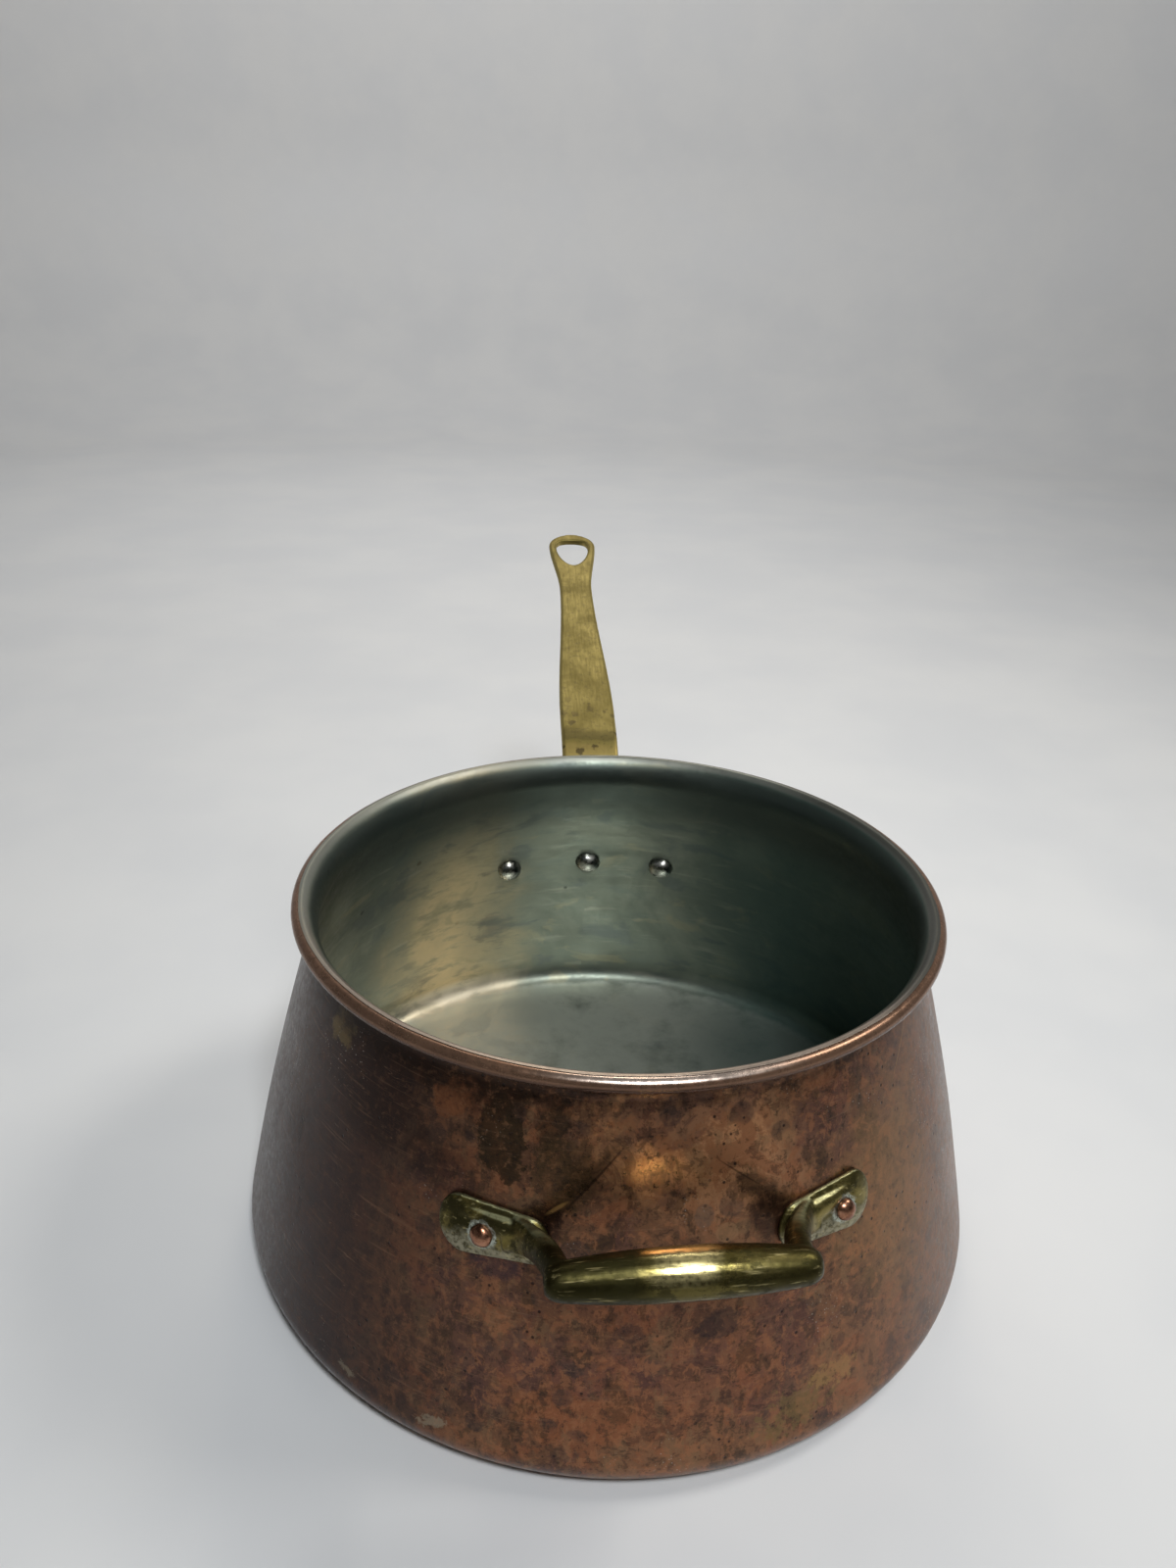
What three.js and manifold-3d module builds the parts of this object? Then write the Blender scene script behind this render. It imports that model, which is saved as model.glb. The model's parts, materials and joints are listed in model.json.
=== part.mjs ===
// Copper windsor pan: a spun copper body with a curled rim, wiped with tin inside,
// a long brass handle on three rivets and a small cast brass helper handle on two.
// Millimetres, +Z up. The origin is the centre of the base on the table.
// The long handle points along +Y and the helper handle is across from it.
import * as THREE from 'three';
import { mergeVertices } from 'three/addons/utils/BufferGeometryUtils.js';
import Module from 'manifold-3d';

const DEG = Math.PI / 180;

// Body: outer sizes of the copper
const rimRadius = 100;
const panHeight = 118;
const beltRadius = 120.1;
const cornerRadius = 9.2;
const footBow = 3.275 * DEG;
const neckBow = 2.725 * DEG;
const copperThickness = 1.3;
const beadRadius = 2.2;
const flareRadius = 9.9;
const flareEnd = 130 * DEG;
const curlEnd = -140 * DEG;

// Tin lining: a thin skin on the inside that stops on top of the rim
const tinThickness = 0.3;
const tinGap = 0.15;
const tinEnd = 57 * DEG;

// Long handle: a strap that follows the wall, bends out under the rim and ends in an eye
const tipBeyondRim = 148;
const tipAboveRim = 52.8;
const handleSlope = 20.8 * DEG;
const bendReach = 27;
const strapRootWidth = 22.2;
const strapNeckWidth = 14.6;
const strapRootThickness = 4.6;
const strapTipThickness = 3.2;
const strapChamfer = 1.2;
const taperStart = 130;
const neckFromTip = 43;
const eyeWidth = 22;
const eyeRounding = 9;
const eyeTaperStart = 7;

// Opening of the eye: its widest place, measured from its outer end, and how far
// the handles of its curves reach
const eyeHoleWidth = 15;
const eyeHoleLength = 20;
const eyeHoleFromTip = 4.9;
const eyeHoleWidest = 5.6;
const eyeHoleBluntReach = 4.5;
const eyeHoleCornerReach = 4.8;
const eyeHoleSideReach = 7;
const eyeHolePointReach = 3.4;

// Flange of the long handle, riveted to the back wall. The outer rivets were set by eye:
// they lie a little low, and the left one further out.
const rivetHeight = 68.3;
const rivetSag = 0.7;
const rivetSpacingLeft = 32.8;
const rivetSpacingRight = 30.2;
const flangeThickness = 4;
const flangeEndRadius = 11;
const flangeDrop = 14;
const flangeRise = 24;
const strapFootClearance = 2;

// Helper handle: two pads, two arms and a barrelled grip in one casting
const helperTurn = 2 * DEG;
const helperRivetHeight = 70.8;
const helperRivetInset = 9.9;
const helperRivetShift = 1.1;
const padSpan = 112;
const padRadius = 5.7;
const padThickness = 2.4;
const padTaperRadius = 4.6;
const gripReach = 21.3;
const gripTilt = 31.5 * DEG;
const gripLength = 65.5;
const gripMiddleWidth = 11.2;
const gripEndWidth = 8.4;
const gripMiddleThickness = 11.2;
const gripEndThickness = 7.8;
const gripEndBluntness = 0.45;
const armInset = 3.85;
const armWidth = 6.6;
const armHeight = 7.8;
const armRootClearance = 1.9;

// Rivets: shank, head inside the pan and head outside
const longRivet = { shank: 2.5, innerHead: 4.85, innerRise: 3.8, outerHead: 4.6, outerRise: 2.2 };
const helperRivet = { shank: 1.7, innerHead: 3.4, innerRise: 1.4, outerHead: 3, outerRise: 2.1 };

// Clearances between pieces. A head inside the pan is flat under its rim, and the wall
// there is hollow, so it stands off a little further.
const seatGap = 0.3;
const innerSeatGap = 0.6;
const holeClearance = 0.3;

// Squaring of the helper handle's round sections: 1 is an ellipse, less is squarer
const sectionPower = 0.85;

// Fineness of the round faces
const bodySegments = 64;
const rivetSegments = 16;
const holeSegments = 16;
const sectionCorners = 14;

const wasm = await Module();
wasm.setup();

// A closed mesh becomes a solid once its shared vertices are merged
function toSolid(geometry) {
  const bare = geometry.clone();
  bare.deleteAttribute('normal');
  bare.deleteAttribute('uv');
  const merged = mergeVertices(bare, 1e-4);
  const corners = merged.index.array;
  const triangles = [];
  for (let i = 0; i < corners.length; i += 3) {
    const [a, b, c] = corners.slice(i, i + 3);
    if (a !== b && b !== c && c !== a) triangles.push(a, b, c);
  }
  return new wasm.Manifold(new wasm.Mesh({
    numProp: 3,
    vertProperties: merged.attributes.position.array,
    triVerts: new Uint32Array(triangles),
  }));
}

function toGeometry(solid) {
  const { vertProperties, triVerts } = solid.getMesh();
  const geometry = new THREE.BufferGeometry();
  geometry.setAttribute('position', new THREE.BufferAttribute(vertProperties, 3));
  geometry.setIndex(new THREE.BufferAttribute(triVerts, 1));
  geometry.computeVertexNormals();
  return geometry;
}

function polar(centre, radius, angle) {
  return new THREE.Vector2(centre.x + radius * Math.cos(angle), centre.y + radius * Math.sin(angle));
}

function arcPoints(centre, radius, from, to, steps) {
  return Array.from({ length: steps + 1 }, (_, i) => polar(centre, radius, from + (to - from) * i / steps));
}

// The pan's profile, as x = radius and y = height: a base corner, a wall that leans in,
// a flare and a bead. All of them are tangent to each other.
const cornerCentre = new THREE.Vector2(beltRadius - cornerRadius, cornerRadius);
const beadCentre = new THREE.Vector2(rimRadius - beadRadius, panHeight - beadRadius);
const flareCentre = polar(beadCentre, beadRadius - flareRadius, flareEnd);

// The straight line that touches the corner's and the flare's circles leans by this much.
// The wall bows out from it, so it leans less at its foot and more at its neck.
const straightLean = (() => {
  const rise = flareCentre.clone().sub(cornerCentre);
  const reach = cornerRadius + flareRadius - copperThickness;
  return Math.asin(reach / rise.length()) + Math.atan2(-rise.x, rise.y);
})();
const footLean = straightLean - footBow;
const neckLean = straightLean + neckBow;
const wallFoot = polar(cornerCentre, cornerRadius, footLean);
const wallNeck = polar(flareCentre, flareRadius - copperThickness, Math.PI + neckLean);
const footDirection = new THREE.Vector2(-Math.sin(footLean), Math.cos(footLean));
const neckDirection = new THREE.Vector2(-Math.sin(neckLean), Math.cos(neckLean));
const wallMiddle = (() => {
  const span = wallNeck.clone().sub(wallFoot);
  const along = span.cross(neckDirection) / footDirection.cross(neckDirection);
  return wallFoot.clone().addScaledVector(footDirection, along);
})();
const wallCurve = new THREE.QuadraticBezierCurve(wallFoot, wallMiddle, wallNeck);

// Parameter of the wall curve at a height
function wallParameter(height) {
  const square = wallFoot.y - 2 * wallMiddle.y + wallNeck.y;
  const linear = 2 * (wallMiddle.y - wallFoot.y);
  const rest = wallFoot.y - height;
  return -2 * rest / (linear + Math.sqrt(linear * linear - 4 * square * rest));
}

// Point of the wall at a parameter, moved out of the copper's outer face by `offset`
function wallProfilePoint(parameter, offset) {
  const point = wallCurve.getPoint(parameter);
  const tangent = wallCurve.getTangent(parameter);
  return new THREE.Vector2(point.x + offset * tangent.y, point.y - offset * tangent.x);
}

function wallLean(height) {
  const tangent = wallCurve.getTangent(wallParameter(height));
  return Math.atan2(-tangent.x, tangent.y);
}

// One face of the shell, `inset` under the copper's outer face, from the axis to the bead
function shellFace(inset, beadEnd, beadSteps) {
  const wallSteps = 4;
  const wall = Array.from({ length: wallSteps + 1 }, (_, i) => wallProfilePoint(i / wallSteps, -inset));
  return [
    new THREE.Vector2(0, inset),
    ...arcPoints(cornerCentre, cornerRadius - inset, -Math.PI / 2, footLean, 5).slice(0, -1),
    ...wall.slice(0, -1),
    ...arcPoints(flareCentre, flareRadius - copperThickness + inset, Math.PI + neckLean, flareEnd, 4).slice(0, -1),
    ...arcPoints(beadCentre, beadRadius - copperThickness + inset, flareEnd, beadEnd, beadSteps),
  ];
}

// Turns a profile about +Z
function turned(profile, segments) {
  return new THREE.LatheGeometry(profile, segments).rotateX(Math.PI / 2);
}

// Point on the outer wall, in the frame of a handle: `across` it along X, `height` up Z,
// on the side that `side` gives (+1 is +Y), moved out of the wall by `offset`
function wallPoint(across, height, side, offset) {
  const onWall = wallProfilePoint(wallParameter(height), 0);
  const azimuth = Math.asin(across / onWall.x);
  const lean = wallLean(height);
  const normal = new THREE.Vector3(
    Math.sin(azimuth) * Math.cos(lean), side * Math.cos(azimuth) * Math.cos(lean), Math.sin(lean));
  const point = new THREE.Vector3(across, side * onWall.x * Math.cos(azimuth), height);
  return { point: point.addScaledVector(normal, offset), normal };
}

// A ring of wall between two offsets from the copper's outer face
function wallShell(innerOffset, outerOffset, lowHeight, highHeight) {
  const steps = 6;
  const heights = Array.from({ length: steps + 1 }, (_, i) => lowHeight + (highHeight - lowHeight) * i / steps);
  const outer = heights.map((height) => wallProfilePoint(wallParameter(height), outerOffset));
  const inner = heights.map((height) => wallProfilePoint(wallParameter(height), innerOffset)).reverse();
  return toSolid(turned([...outer, ...inner, outer[0]], bodySegments));
}

// A flat outline in X and Z, pushed along Y through the wall on one side
function outlineThroughWall(shape, side) {
  const depth = beltRadius;
  const block = new THREE.ExtrudeGeometry(shape, { depth, bevelEnabled: false, curveSegments: 8 });
  block.rotateX(Math.PI / 2);
  if (side > 0) block.translate(0, depth, 0);
  return toSolid(block);
}

// Skin of rings that go round the same way, closed by a fan at each end
function loft(rings) {
  const count = rings[0].length;
  const points = rings.flat();
  const triangles = [];
  for (let r = 0; r + 1 < rings.length; r += 1) {
    for (let i = 0; i < count; i += 1) {
      const a = r * count + i;
      const b = r * count + (i + 1) % count;
      triangles.push(a, b, b + count, a, b + count, a + count);
    }
  }
  const last = (rings.length - 1) * count;
  for (let i = 1; i + 1 < count; i += 1) {
    triangles.push(0, i + 1, i, last, last + i, last + i + 1);
  }
  const geometry = new THREE.BufferGeometry().setFromPoints(points);
  geometry.setIndex(triangles);
  const solid = toSolid(geometry);
  return solid.volume() > 0 ? solid : toSolid(flipped(geometry));
}

function flipped(geometry) {
  const corners = Array.from(geometry.index.array);
  for (let i = 0; i < corners.length; i += 3) {
    [corners[i], corners[i + 1]] = [corners[i + 1], corners[i]];
  }
  geometry.setIndex(corners);
  return geometry;
}

// A hole square to the wall for one rivet, long enough for any plate there
function rivetHole(rivet, across, height, side) {
  const { point, normal } = wallPoint(across, height, side, 0);
  const radius = rivet.shank + holeClearance;
  const reach = 8 * flangeThickness;
  const hole = new THREE.CylinderGeometry(radius, radius, reach, holeSegments);
  hole.applyQuaternion(new THREE.Quaternion().setFromUnitVectors(new THREE.Vector3(0, 1, 0), normal));
  hole.translate(point.x, point.y, point.z);
  return toSolid(hole);
}

const longRivets = [
  { name: 'long_handle_rivet_left', across: -rivetSpacingLeft, height: rivetHeight - rivetSag },
  { name: 'long_handle_rivet_centre', across: 0, height: rivetHeight },
  { name: 'long_handle_rivet_right', across: rivetSpacingRight, height: rivetHeight - rivetSag },
];
const helperRivetSpacing = padSpan - 2 * helperRivetInset;
const helperRivets = [
  { name: 'helper_rivet_left', across: helperRivetShift - helperRivetSpacing / 2, height: helperRivetHeight },
  { name: 'helper_rivet_right', across: helperRivetShift + helperRivetSpacing / 2, height: helperRivetHeight },
];
const longHoles = longRivets.map(({ across, height }) => rivetHole(longRivet, across, height, 1));
const helperHoles = helperRivets.map(({ across, height }) => rivetHole(helperRivet, across, height, -1));

function drilled(solid, holes) {
  return holes.reduce((rest, hole) => rest.subtract(hole), solid);
}

const turnedHelperHoles = helperHoles.map((hole) => hole.rotate([0, 0, helperTurn / DEG]));
const bodyHoles = [...longHoles, ...turnedHelperHoles];

function copperBody() {
  const outer = shellFace(0, curlEnd, 7);
  const inner = shellFace(copperThickness, curlEnd, 7).reverse();
  return toGeometry(drilled(toSolid(turned([...outer, ...inner], bodySegments)), bodyHoles));
}

function tinLining() {
  const underside = shellFace(copperThickness + tinGap, tinEnd, 3);
  const face = shellFace(copperThickness + tinGap + tinThickness, tinEnd, 3).reverse();
  return toGeometry(drilled(toSolid(turned([...underside, ...face], bodySegments)), bodyHoles));
}

// The strap's upper face, in the plane of the handle, from the tip back to the flange
const tipPoint = new THREE.Vector2(rimRadius + tipBeyondRim, panHeight + tipAboveRim);
const strapDirection = new THREE.Vector2(Math.cos(handleSlope), Math.sin(handleSlope));
const peelHeight = rivetHeight + flangeRise;
const peelPoint = wallProfilePoint(wallParameter(peelHeight), seatGap);
const peelDirection = wallCurve.getTangent(wallParameter(peelHeight));
const bendCorner = (() => {
  const span = tipPoint.clone().sub(peelPoint);
  const along = span.cross(strapDirection) / peelDirection.cross(strapDirection);
  return peelPoint.clone().addScaledVector(peelDirection, along);
})();
const bendStart = bendCorner.clone().addScaledVector(strapDirection, bendReach);
const bendCurve = new THREE.QuadraticBezierCurve(bendStart, bendCorner, peelPoint);
const straightLength = tipPoint.distanceTo(bendStart);

// Half the strap's width at a distance from the tip: a round end, an eye that narrows
// to a neck, and a root that widens from it
function strapHalfWidth(fromTip) {
  const { lerp, smoothstep } = THREE.MathUtils;
  const roundness = Math.sqrt(1 - (1 - Math.min(1, fromTip / eyeRounding)) ** 2);
  const width = fromTip < neckFromTip
    ? lerp(eyeWidth, strapNeckWidth, smoothstep(fromTip, eyeTaperStart, neckFromTip))
    : lerp(strapNeckWidth, strapRootWidth, smoothstep(fromTip, neckFromTip, taperStart));
  return roundness * width / 2;
}

// One section of the strap: a flat bar with all four long edges chamfered
function strapSection(point, direction, fromTip) {
  const { lerp, smoothstep } = THREE.MathUtils;
  const halfWidth = strapHalfWidth(fromTip);
  const thickness = lerp(strapTipThickness, strapRootThickness, smoothstep(fromTip, neckFromTip, taperStart));
  const chamfer = Math.min(strapChamfer, halfWidth / 2, thickness / 3);
  const under = new THREE.Vector2(direction.y, -direction.x);
  const outline = [
    [halfWidth - chamfer, 0], [halfWidth, chamfer], [halfWidth, thickness - chamfer], [halfWidth - chamfer, thickness],
  ];
  const mirrored = outline.map(([across, depth]) => [-across, depth]).reverse();
  return [...outline, ...mirrored].map(([across, depth]) => {
    const at = point.clone().addScaledVector(under, depth);
    return new THREE.Vector3(across, at.x, at.y);
  });
}

// Distances that step evenly from one to another, without the first
function stepsBetween(from, to, steps) {
  return Array.from({ length: steps }, (_, i) => from + (to - from) * (i + 1) / steps);
}

// Distances along a round end: they crowd towards the tip, where a small flat is left
function roundEndSteps(rounding, steps) {
  const flatShare = 0.05;
  return Array.from({ length: steps + 1 }, (_, i) => {
    return rounding * (1 - Math.cos(Math.PI / 2 * Math.max(flatShare, i / steps)));
  });
}

function strap() {
  const fromTips = [
    ...roundEndSteps(eyeRounding, 5),
    ...stepsBetween(eyeRounding, neckFromTip, 7),
    ...stepsBetween(neckFromTip, straightLength, 7),
  ];
  const rings = fromTips.map((fromTip) => {
    const point = tipPoint.clone().addScaledVector(strapDirection, -fromTip);
    return strapSection(point, strapDirection, fromTip);
  });
  const bendSteps = 7;
  for (let i = 1; i <= bendSteps; i += 1) {
    const point = bendCurve.getPoint(i / bendSteps);
    const direction = bendCurve.getTangent(i / bendSteps).negate();
    rings.push(strapSection(point, direction, Math.max(straightLength, taperStart)));
  }
  const foot = rivetHeight + longRivet.outerHead + strapFootClearance;
  for (const height of stepsBetween(peelHeight, foot, 3)) {
    const parameter = wallParameter(height);
    const point = wallProfilePoint(parameter, seatGap);
    rings.push(strapSection(point, wallCurve.getTangent(parameter), taperStart));
  }
  return loft(rings);
}

// The eye's opening: blunt towards the tip and pointed towards the pan
function eyeHole() {
  const half = eyeHoleWidth / 2;
  const outer = -eyeHoleFromTip;
  const inner = outer - eyeHoleLength;
  const widest = outer - eyeHoleWidest;
  const shape = new THREE.Shape();
  shape.moveTo(0, inner);
  shape.bezierCurveTo(eyeHolePointReach, inner, half, widest - eyeHoleSideReach, half, widest);
  shape.bezierCurveTo(half, widest + eyeHoleCornerReach, eyeHoleBluntReach, outer, 0, outer);
  shape.bezierCurveTo(-eyeHoleBluntReach, outer, -half, widest + eyeHoleCornerReach, -half, widest);
  shape.bezierCurveTo(-half, widest - eyeHoleSideReach, -eyeHolePointReach, inner, 0, inner);
  const depth = 6 * strapTipThickness;
  const plug = new THREE.ExtrudeGeometry(shape, { depth, bevelEnabled: false, curveSegments: 6 });
  plug.translate(0, 0, -depth / 2);
  plug.rotateX(handleSlope);
  plug.translate(0, tipPoint.x, tipPoint.y);
  return toSolid(plug);
}

// Front view of the flange: a bar with round ends that narrows up into the strap
function flangeOutline() {
  const end = flangeEndRadius;
  const endHeight = rivetHeight - rivetSag;
  const low = rivetHeight - flangeDrop;
  const root = strapRootWidth / 2;
  const left = -rivetSpacingLeft;
  const right = rivetSpacingRight;
  const shape = new THREE.Shape();
  shape.moveTo(0, low);
  shape.quadraticCurveTo(right / 2, low, right, endHeight - end);
  shape.absarc(right, endHeight, end, -Math.PI / 2, Math.PI / 2, false);
  shape.quadraticCurveTo(root, endHeight + end, root, peelHeight);
  shape.lineTo(-root, peelHeight);
  shape.quadraticCurveTo(-root, endHeight + end, left, endHeight + end);
  shape.absarc(left, endHeight, end, Math.PI / 2, 3 * Math.PI / 2, false);
  shape.quadraticCurveTo(left / 2, low, 0, low);
  return shape;
}

function longHandle() {
  const low = rivetHeight - 2 * flangeDrop;
  const plate = wallShell(seatGap, seatGap + flangeThickness, low, peelHeight)
    .intersect(outlineThroughWall(flangeOutline(), 1));
  const clearOfWall = wallShell(-flangeThickness, seatGap, low, peelHeight);
  const handle = strap().subtract(clearOfWall).add(plate);
  return toGeometry(drilled(handle.subtract(eyeHole()), longHoles));
}

// The arms meet the grip near its ends, and the middle of each pad's narrow end lies
// just outside its arm
const armSpacing = gripLength - 2 * armInset;
const padEnd = armSpacing / 2 + padTaperRadius;

// Each arm leaves its pad just short of the head of the nearer rivet
const nearRivet = helperRivetSpacing / 2 - Math.abs(helperRivetShift);
const armRoot = nearRivet - helperRivet.outerHead - armRootClearance;

// Front view of one pad of the helper handle: a drop, round at the rivet, that runs to its arm
function padOutline(side) {
  const far = new THREE.Vector2(padSpan / 2 - padRadius, helperRivetHeight);
  const near = new THREE.Vector2(padEnd, helperRivetHeight);
  const shape = new THREE.Shape();
  const points = [
    ...arcPoints(far, padRadius, -Math.PI / 2, Math.PI / 2, 10),
    ...arcPoints(near, padTaperRadius, Math.PI / 2, 3 * Math.PI / 2, 6),
  ];
  shape.setFromPoints(points.map((point) => new THREE.Vector2(side * point.x, point.y)));
  return shape;
}

// Centre of the grip's section, and the two directions of the tilted loop
const gripRoot = wallPoint(0, helperRivetHeight, -1, 0).point;
const gripOut = new THREE.Vector3(0, -Math.cos(gripTilt), Math.sin(gripTilt));
const gripUp = new THREE.Vector3(0, Math.sin(gripTilt), Math.cos(gripTilt));
const gripCentre = gripRoot.clone().addScaledVector(gripOut, gripReach);

// A ring of points about a centre: an ellipse, a little squared off
function sectionRing(centre, outward, upward, halfOut, halfUp) {
  const squared = (value) => Math.sign(value) * Math.abs(value) ** sectionPower;
  return Array.from({ length: sectionCorners }, (_, k) => {
    const angle = 2 * Math.PI * k / sectionCorners;
    return centre.clone()
      .addScaledVector(outward, halfOut * squared(Math.cos(angle)))
      .addScaledVector(upward, halfUp * squared(Math.sin(angle)));
  });
}

// The grip: a barrel, thickest at the middle, with rounded ends
function grip() {
  const { lerp } = THREE.MathUtils;
  const half = gripLength / 2;
  const rounding = gripEndWidth / 2;
  const fromEnds = [...roundEndSteps(rounding, 4), ...stepsBetween(rounding, half, 4)];
  const halfSizes = fromEnds.map((fromEnd) => {
    const inward = (fromEnd / half) * (2 - fromEnd / half);
    const roundness = Math.sqrt(1 - (1 - Math.min(1, fromEnd / rounding)) ** 2);
    const size = lerp(gripEndBluntness, 1, roundness) / 2;
    return {
      across: half - fromEnd,
      out: size * lerp(gripEndWidth, gripMiddleWidth, inward),
      up: size * lerp(gripEndThickness, gripMiddleThickness, inward),
    };
  });
  const mirrored = halfSizes.slice(0, -1).reverse().map((size) => ({ ...size, across: -size.across }));
  return loft([...halfSizes, ...mirrored].map(({ across, out, up }) => {
    const centre = gripCentre.clone().add(new THREE.Vector3(across, 0, 0));
    return sectionRing(centre, gripOut, gripUp, out, up);
  }));
}

// One arm: it leaves its pad along the wall and turns out to the grip, and its section
// changes from the pad's to its own over the first half of its way
function arm(side) {
  const { lerp } = THREE.MathUtils;
  const start = wallPoint(side * armRoot, helperRivetHeight, -1, seatGap + padThickness / 2).point;
  const corner = wallPoint(side * armSpacing / 2, helperRivetHeight, -1, seatGap + armWidth / 2).point;
  const finish = gripCentre.clone().add(new THREE.Vector3(side * armSpacing / 2, 0, 0));
  const path = new THREE.QuadraticBezierCurve3(start, corner, finish);
  const steps = 8;
  const rings = Array.from({ length: steps + 1 }, (_, i) => {
    const along = path.getTangent(i / steps);
    const thickwise = new THREE.Vector3().crossVectors(along, gripUp).normalize();
    const upwise = new THREE.Vector3().crossVectors(thickwise, along).normalize();
    const change = Math.min(1, 2 * i / steps);
    const halfThick = lerp(padThickness, armWidth, change) / 2;
    const halfHigh = lerp(2 * padTaperRadius, armHeight, change) / 2;
    return sectionRing(path.getPoint(i / steps), thickwise, upwise, halfThick, halfHigh);
  });
  return loft(rings);
}

function helperHandle() {
  const low = helperRivetHeight - 2 * padRadius;
  const high = helperRivetHeight + 2 * padRadius;
  const plateShell = wallShell(seatGap, seatGap + padThickness, low, high);
  const clearOfWall = wallShell(-flangeThickness, seatGap, low, high);
  const pads = [-1, 1].map((side) => plateShell.intersect(outlineThroughWall(padOutline(side), -1)));
  const arms = [-1, 1].map((side) => arm(side).subtract(clearOfWall));
  const handle = [...pads, ...arms].reduce((whole, piece) => whole.add(piece), grip());
  return toGeometry(drilled(handle, helperHoles));
}

// A rivet about +Y: its shank runs out through the lining, the wall and the plate.
// Height 0 is the copper's outer face.
function rivetGeometry(rivet, plateThickness) {
  const innerSeat = -(copperThickness + tinGap + tinThickness + innerSeatGap);
  const outerSeat = seatGap + plateThickness + seatGap;
  const domeSteps = 4;
  const profile = [];
  for (let i = 0; i <= domeSteps; i += 1) {
    const angle = (Math.PI / 2) * i / domeSteps;
    profile.push(new THREE.Vector2(
      rivet.innerHead * Math.sin(angle), innerSeat - rivet.innerRise * Math.cos(angle)));
  }
  profile.push(new THREE.Vector2(rivet.shank, innerSeat), new THREE.Vector2(rivet.shank, outerSeat));
  for (let i = domeSteps; i >= 0; i -= 1) {
    const angle = (Math.PI / 2) * i / domeSteps;
    profile.push(new THREE.Vector2(
      rivet.outerHead * Math.sin(angle), outerSeat + rivet.outerRise * Math.cos(angle)));
  }
  profile[0].x = 0;
  profile[profile.length - 1].x = 0;
  return toGeometry(toSolid(new THREE.LatheGeometry(profile, rivetSegments)));
}

function rivetMesh(name, rivet, across, height, side, plateThickness, material) {
  const mesh = new THREE.Mesh(rivetGeometry(rivet, plateThickness), material);
  const { point, normal } = wallPoint(across, height, side, 0);
  mesh.name = name;
  mesh.position.copy(point);
  mesh.quaternion.setFromUnitVectors(new THREE.Vector3(0, 1, 0), normal);
  return mesh;
}

function namedMesh(name, geometry, material) {
  const mesh = new THREE.Mesh(geometry, material);
  mesh.name = name;
  return mesh;
}

const copper = new THREE.MeshStandardMaterial({ color: 0x6b3a26, roughness: 0.4, metalness: 1 });
const tin = new THREE.MeshStandardMaterial({ color: 0x7d8580, roughness: 0.5, metalness: 1 });
const brass = new THREE.MeshStandardMaterial({ color: 0xa38a45, roughness: 0.35, metalness: 1 });
const rivetCopper = new THREE.MeshStandardMaterial({ color: 0x9a5a3c, roughness: 0.3, metalness: 1 });

const pan = new THREE.Group();
pan.add(namedMesh('copper_body', copperBody(), copper));
pan.add(namedMesh('tin_lining', tinLining(), tin));
pan.add(namedMesh('long_handle', longHandle(), brass));
for (const { name, across, height } of longRivets) {
  pan.add(rivetMesh(name, longRivet, across, height, 1, flangeThickness, rivetCopper));
}

const helper = new THREE.Group();
helper.rotation.z = helperTurn;
helper.add(namedMesh('helper_handle', helperHandle(), brass));
for (const { name, across, height } of helperRivets) {
  helper.add(rivetMesh(name, helperRivet, across, height, -1, padThickness, rivetCopper));
}
pan.add(helper);

export default pan;
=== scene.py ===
"""The looks of the copper pan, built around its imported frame. Metres, +Z up.

The origin is the centre of the base on the table. The long handle points along +Y and the
helper handle is across from it. Azimuths are measured from the helper side towards +X.
"""

import json
import math

import bmesh
import bpy
import numpy as np
from mathutils import Matrix, Vector

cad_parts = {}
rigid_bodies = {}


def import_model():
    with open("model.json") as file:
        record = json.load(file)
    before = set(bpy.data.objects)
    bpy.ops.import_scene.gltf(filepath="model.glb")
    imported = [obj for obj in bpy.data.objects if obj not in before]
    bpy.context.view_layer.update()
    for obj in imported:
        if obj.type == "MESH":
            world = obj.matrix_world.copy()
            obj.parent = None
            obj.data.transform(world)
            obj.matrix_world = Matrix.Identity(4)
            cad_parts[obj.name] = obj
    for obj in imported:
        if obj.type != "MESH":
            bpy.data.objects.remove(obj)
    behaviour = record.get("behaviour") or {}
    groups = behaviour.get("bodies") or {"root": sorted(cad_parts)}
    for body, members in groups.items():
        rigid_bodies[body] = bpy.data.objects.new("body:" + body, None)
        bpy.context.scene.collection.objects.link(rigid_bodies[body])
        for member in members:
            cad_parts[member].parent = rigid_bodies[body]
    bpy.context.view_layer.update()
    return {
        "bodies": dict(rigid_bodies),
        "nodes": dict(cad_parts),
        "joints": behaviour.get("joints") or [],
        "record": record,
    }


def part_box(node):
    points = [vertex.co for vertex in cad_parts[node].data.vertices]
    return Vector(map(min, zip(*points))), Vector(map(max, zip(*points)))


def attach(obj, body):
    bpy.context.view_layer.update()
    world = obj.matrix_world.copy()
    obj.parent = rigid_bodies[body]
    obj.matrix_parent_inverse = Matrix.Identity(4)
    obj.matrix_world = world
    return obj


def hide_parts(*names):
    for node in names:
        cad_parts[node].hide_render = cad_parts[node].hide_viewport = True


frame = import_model()
scene = bpy.context.scene

MM = 0.001
DEGREE = math.pi / 180

# The photo's camera, found from the ellipses of the rim and the base. It stands this far
# from the pan's axis, a little to the left of the helper handle.
CAMERA_DISTANCE = 0.32464
CAMERA_HEIGHT = 0.29688
CAMERA_AZIMUTH = -7.1 * DEGREE
CAMERA_YAW = -1.845 * DEGREE
CAMERA_PITCH = 24.37 * DEGREE
CAMERA_ROLL = -1.896 * DEGREE
CAMERA_LENS = 27.05
CAMERA_SENSOR = 36

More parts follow.
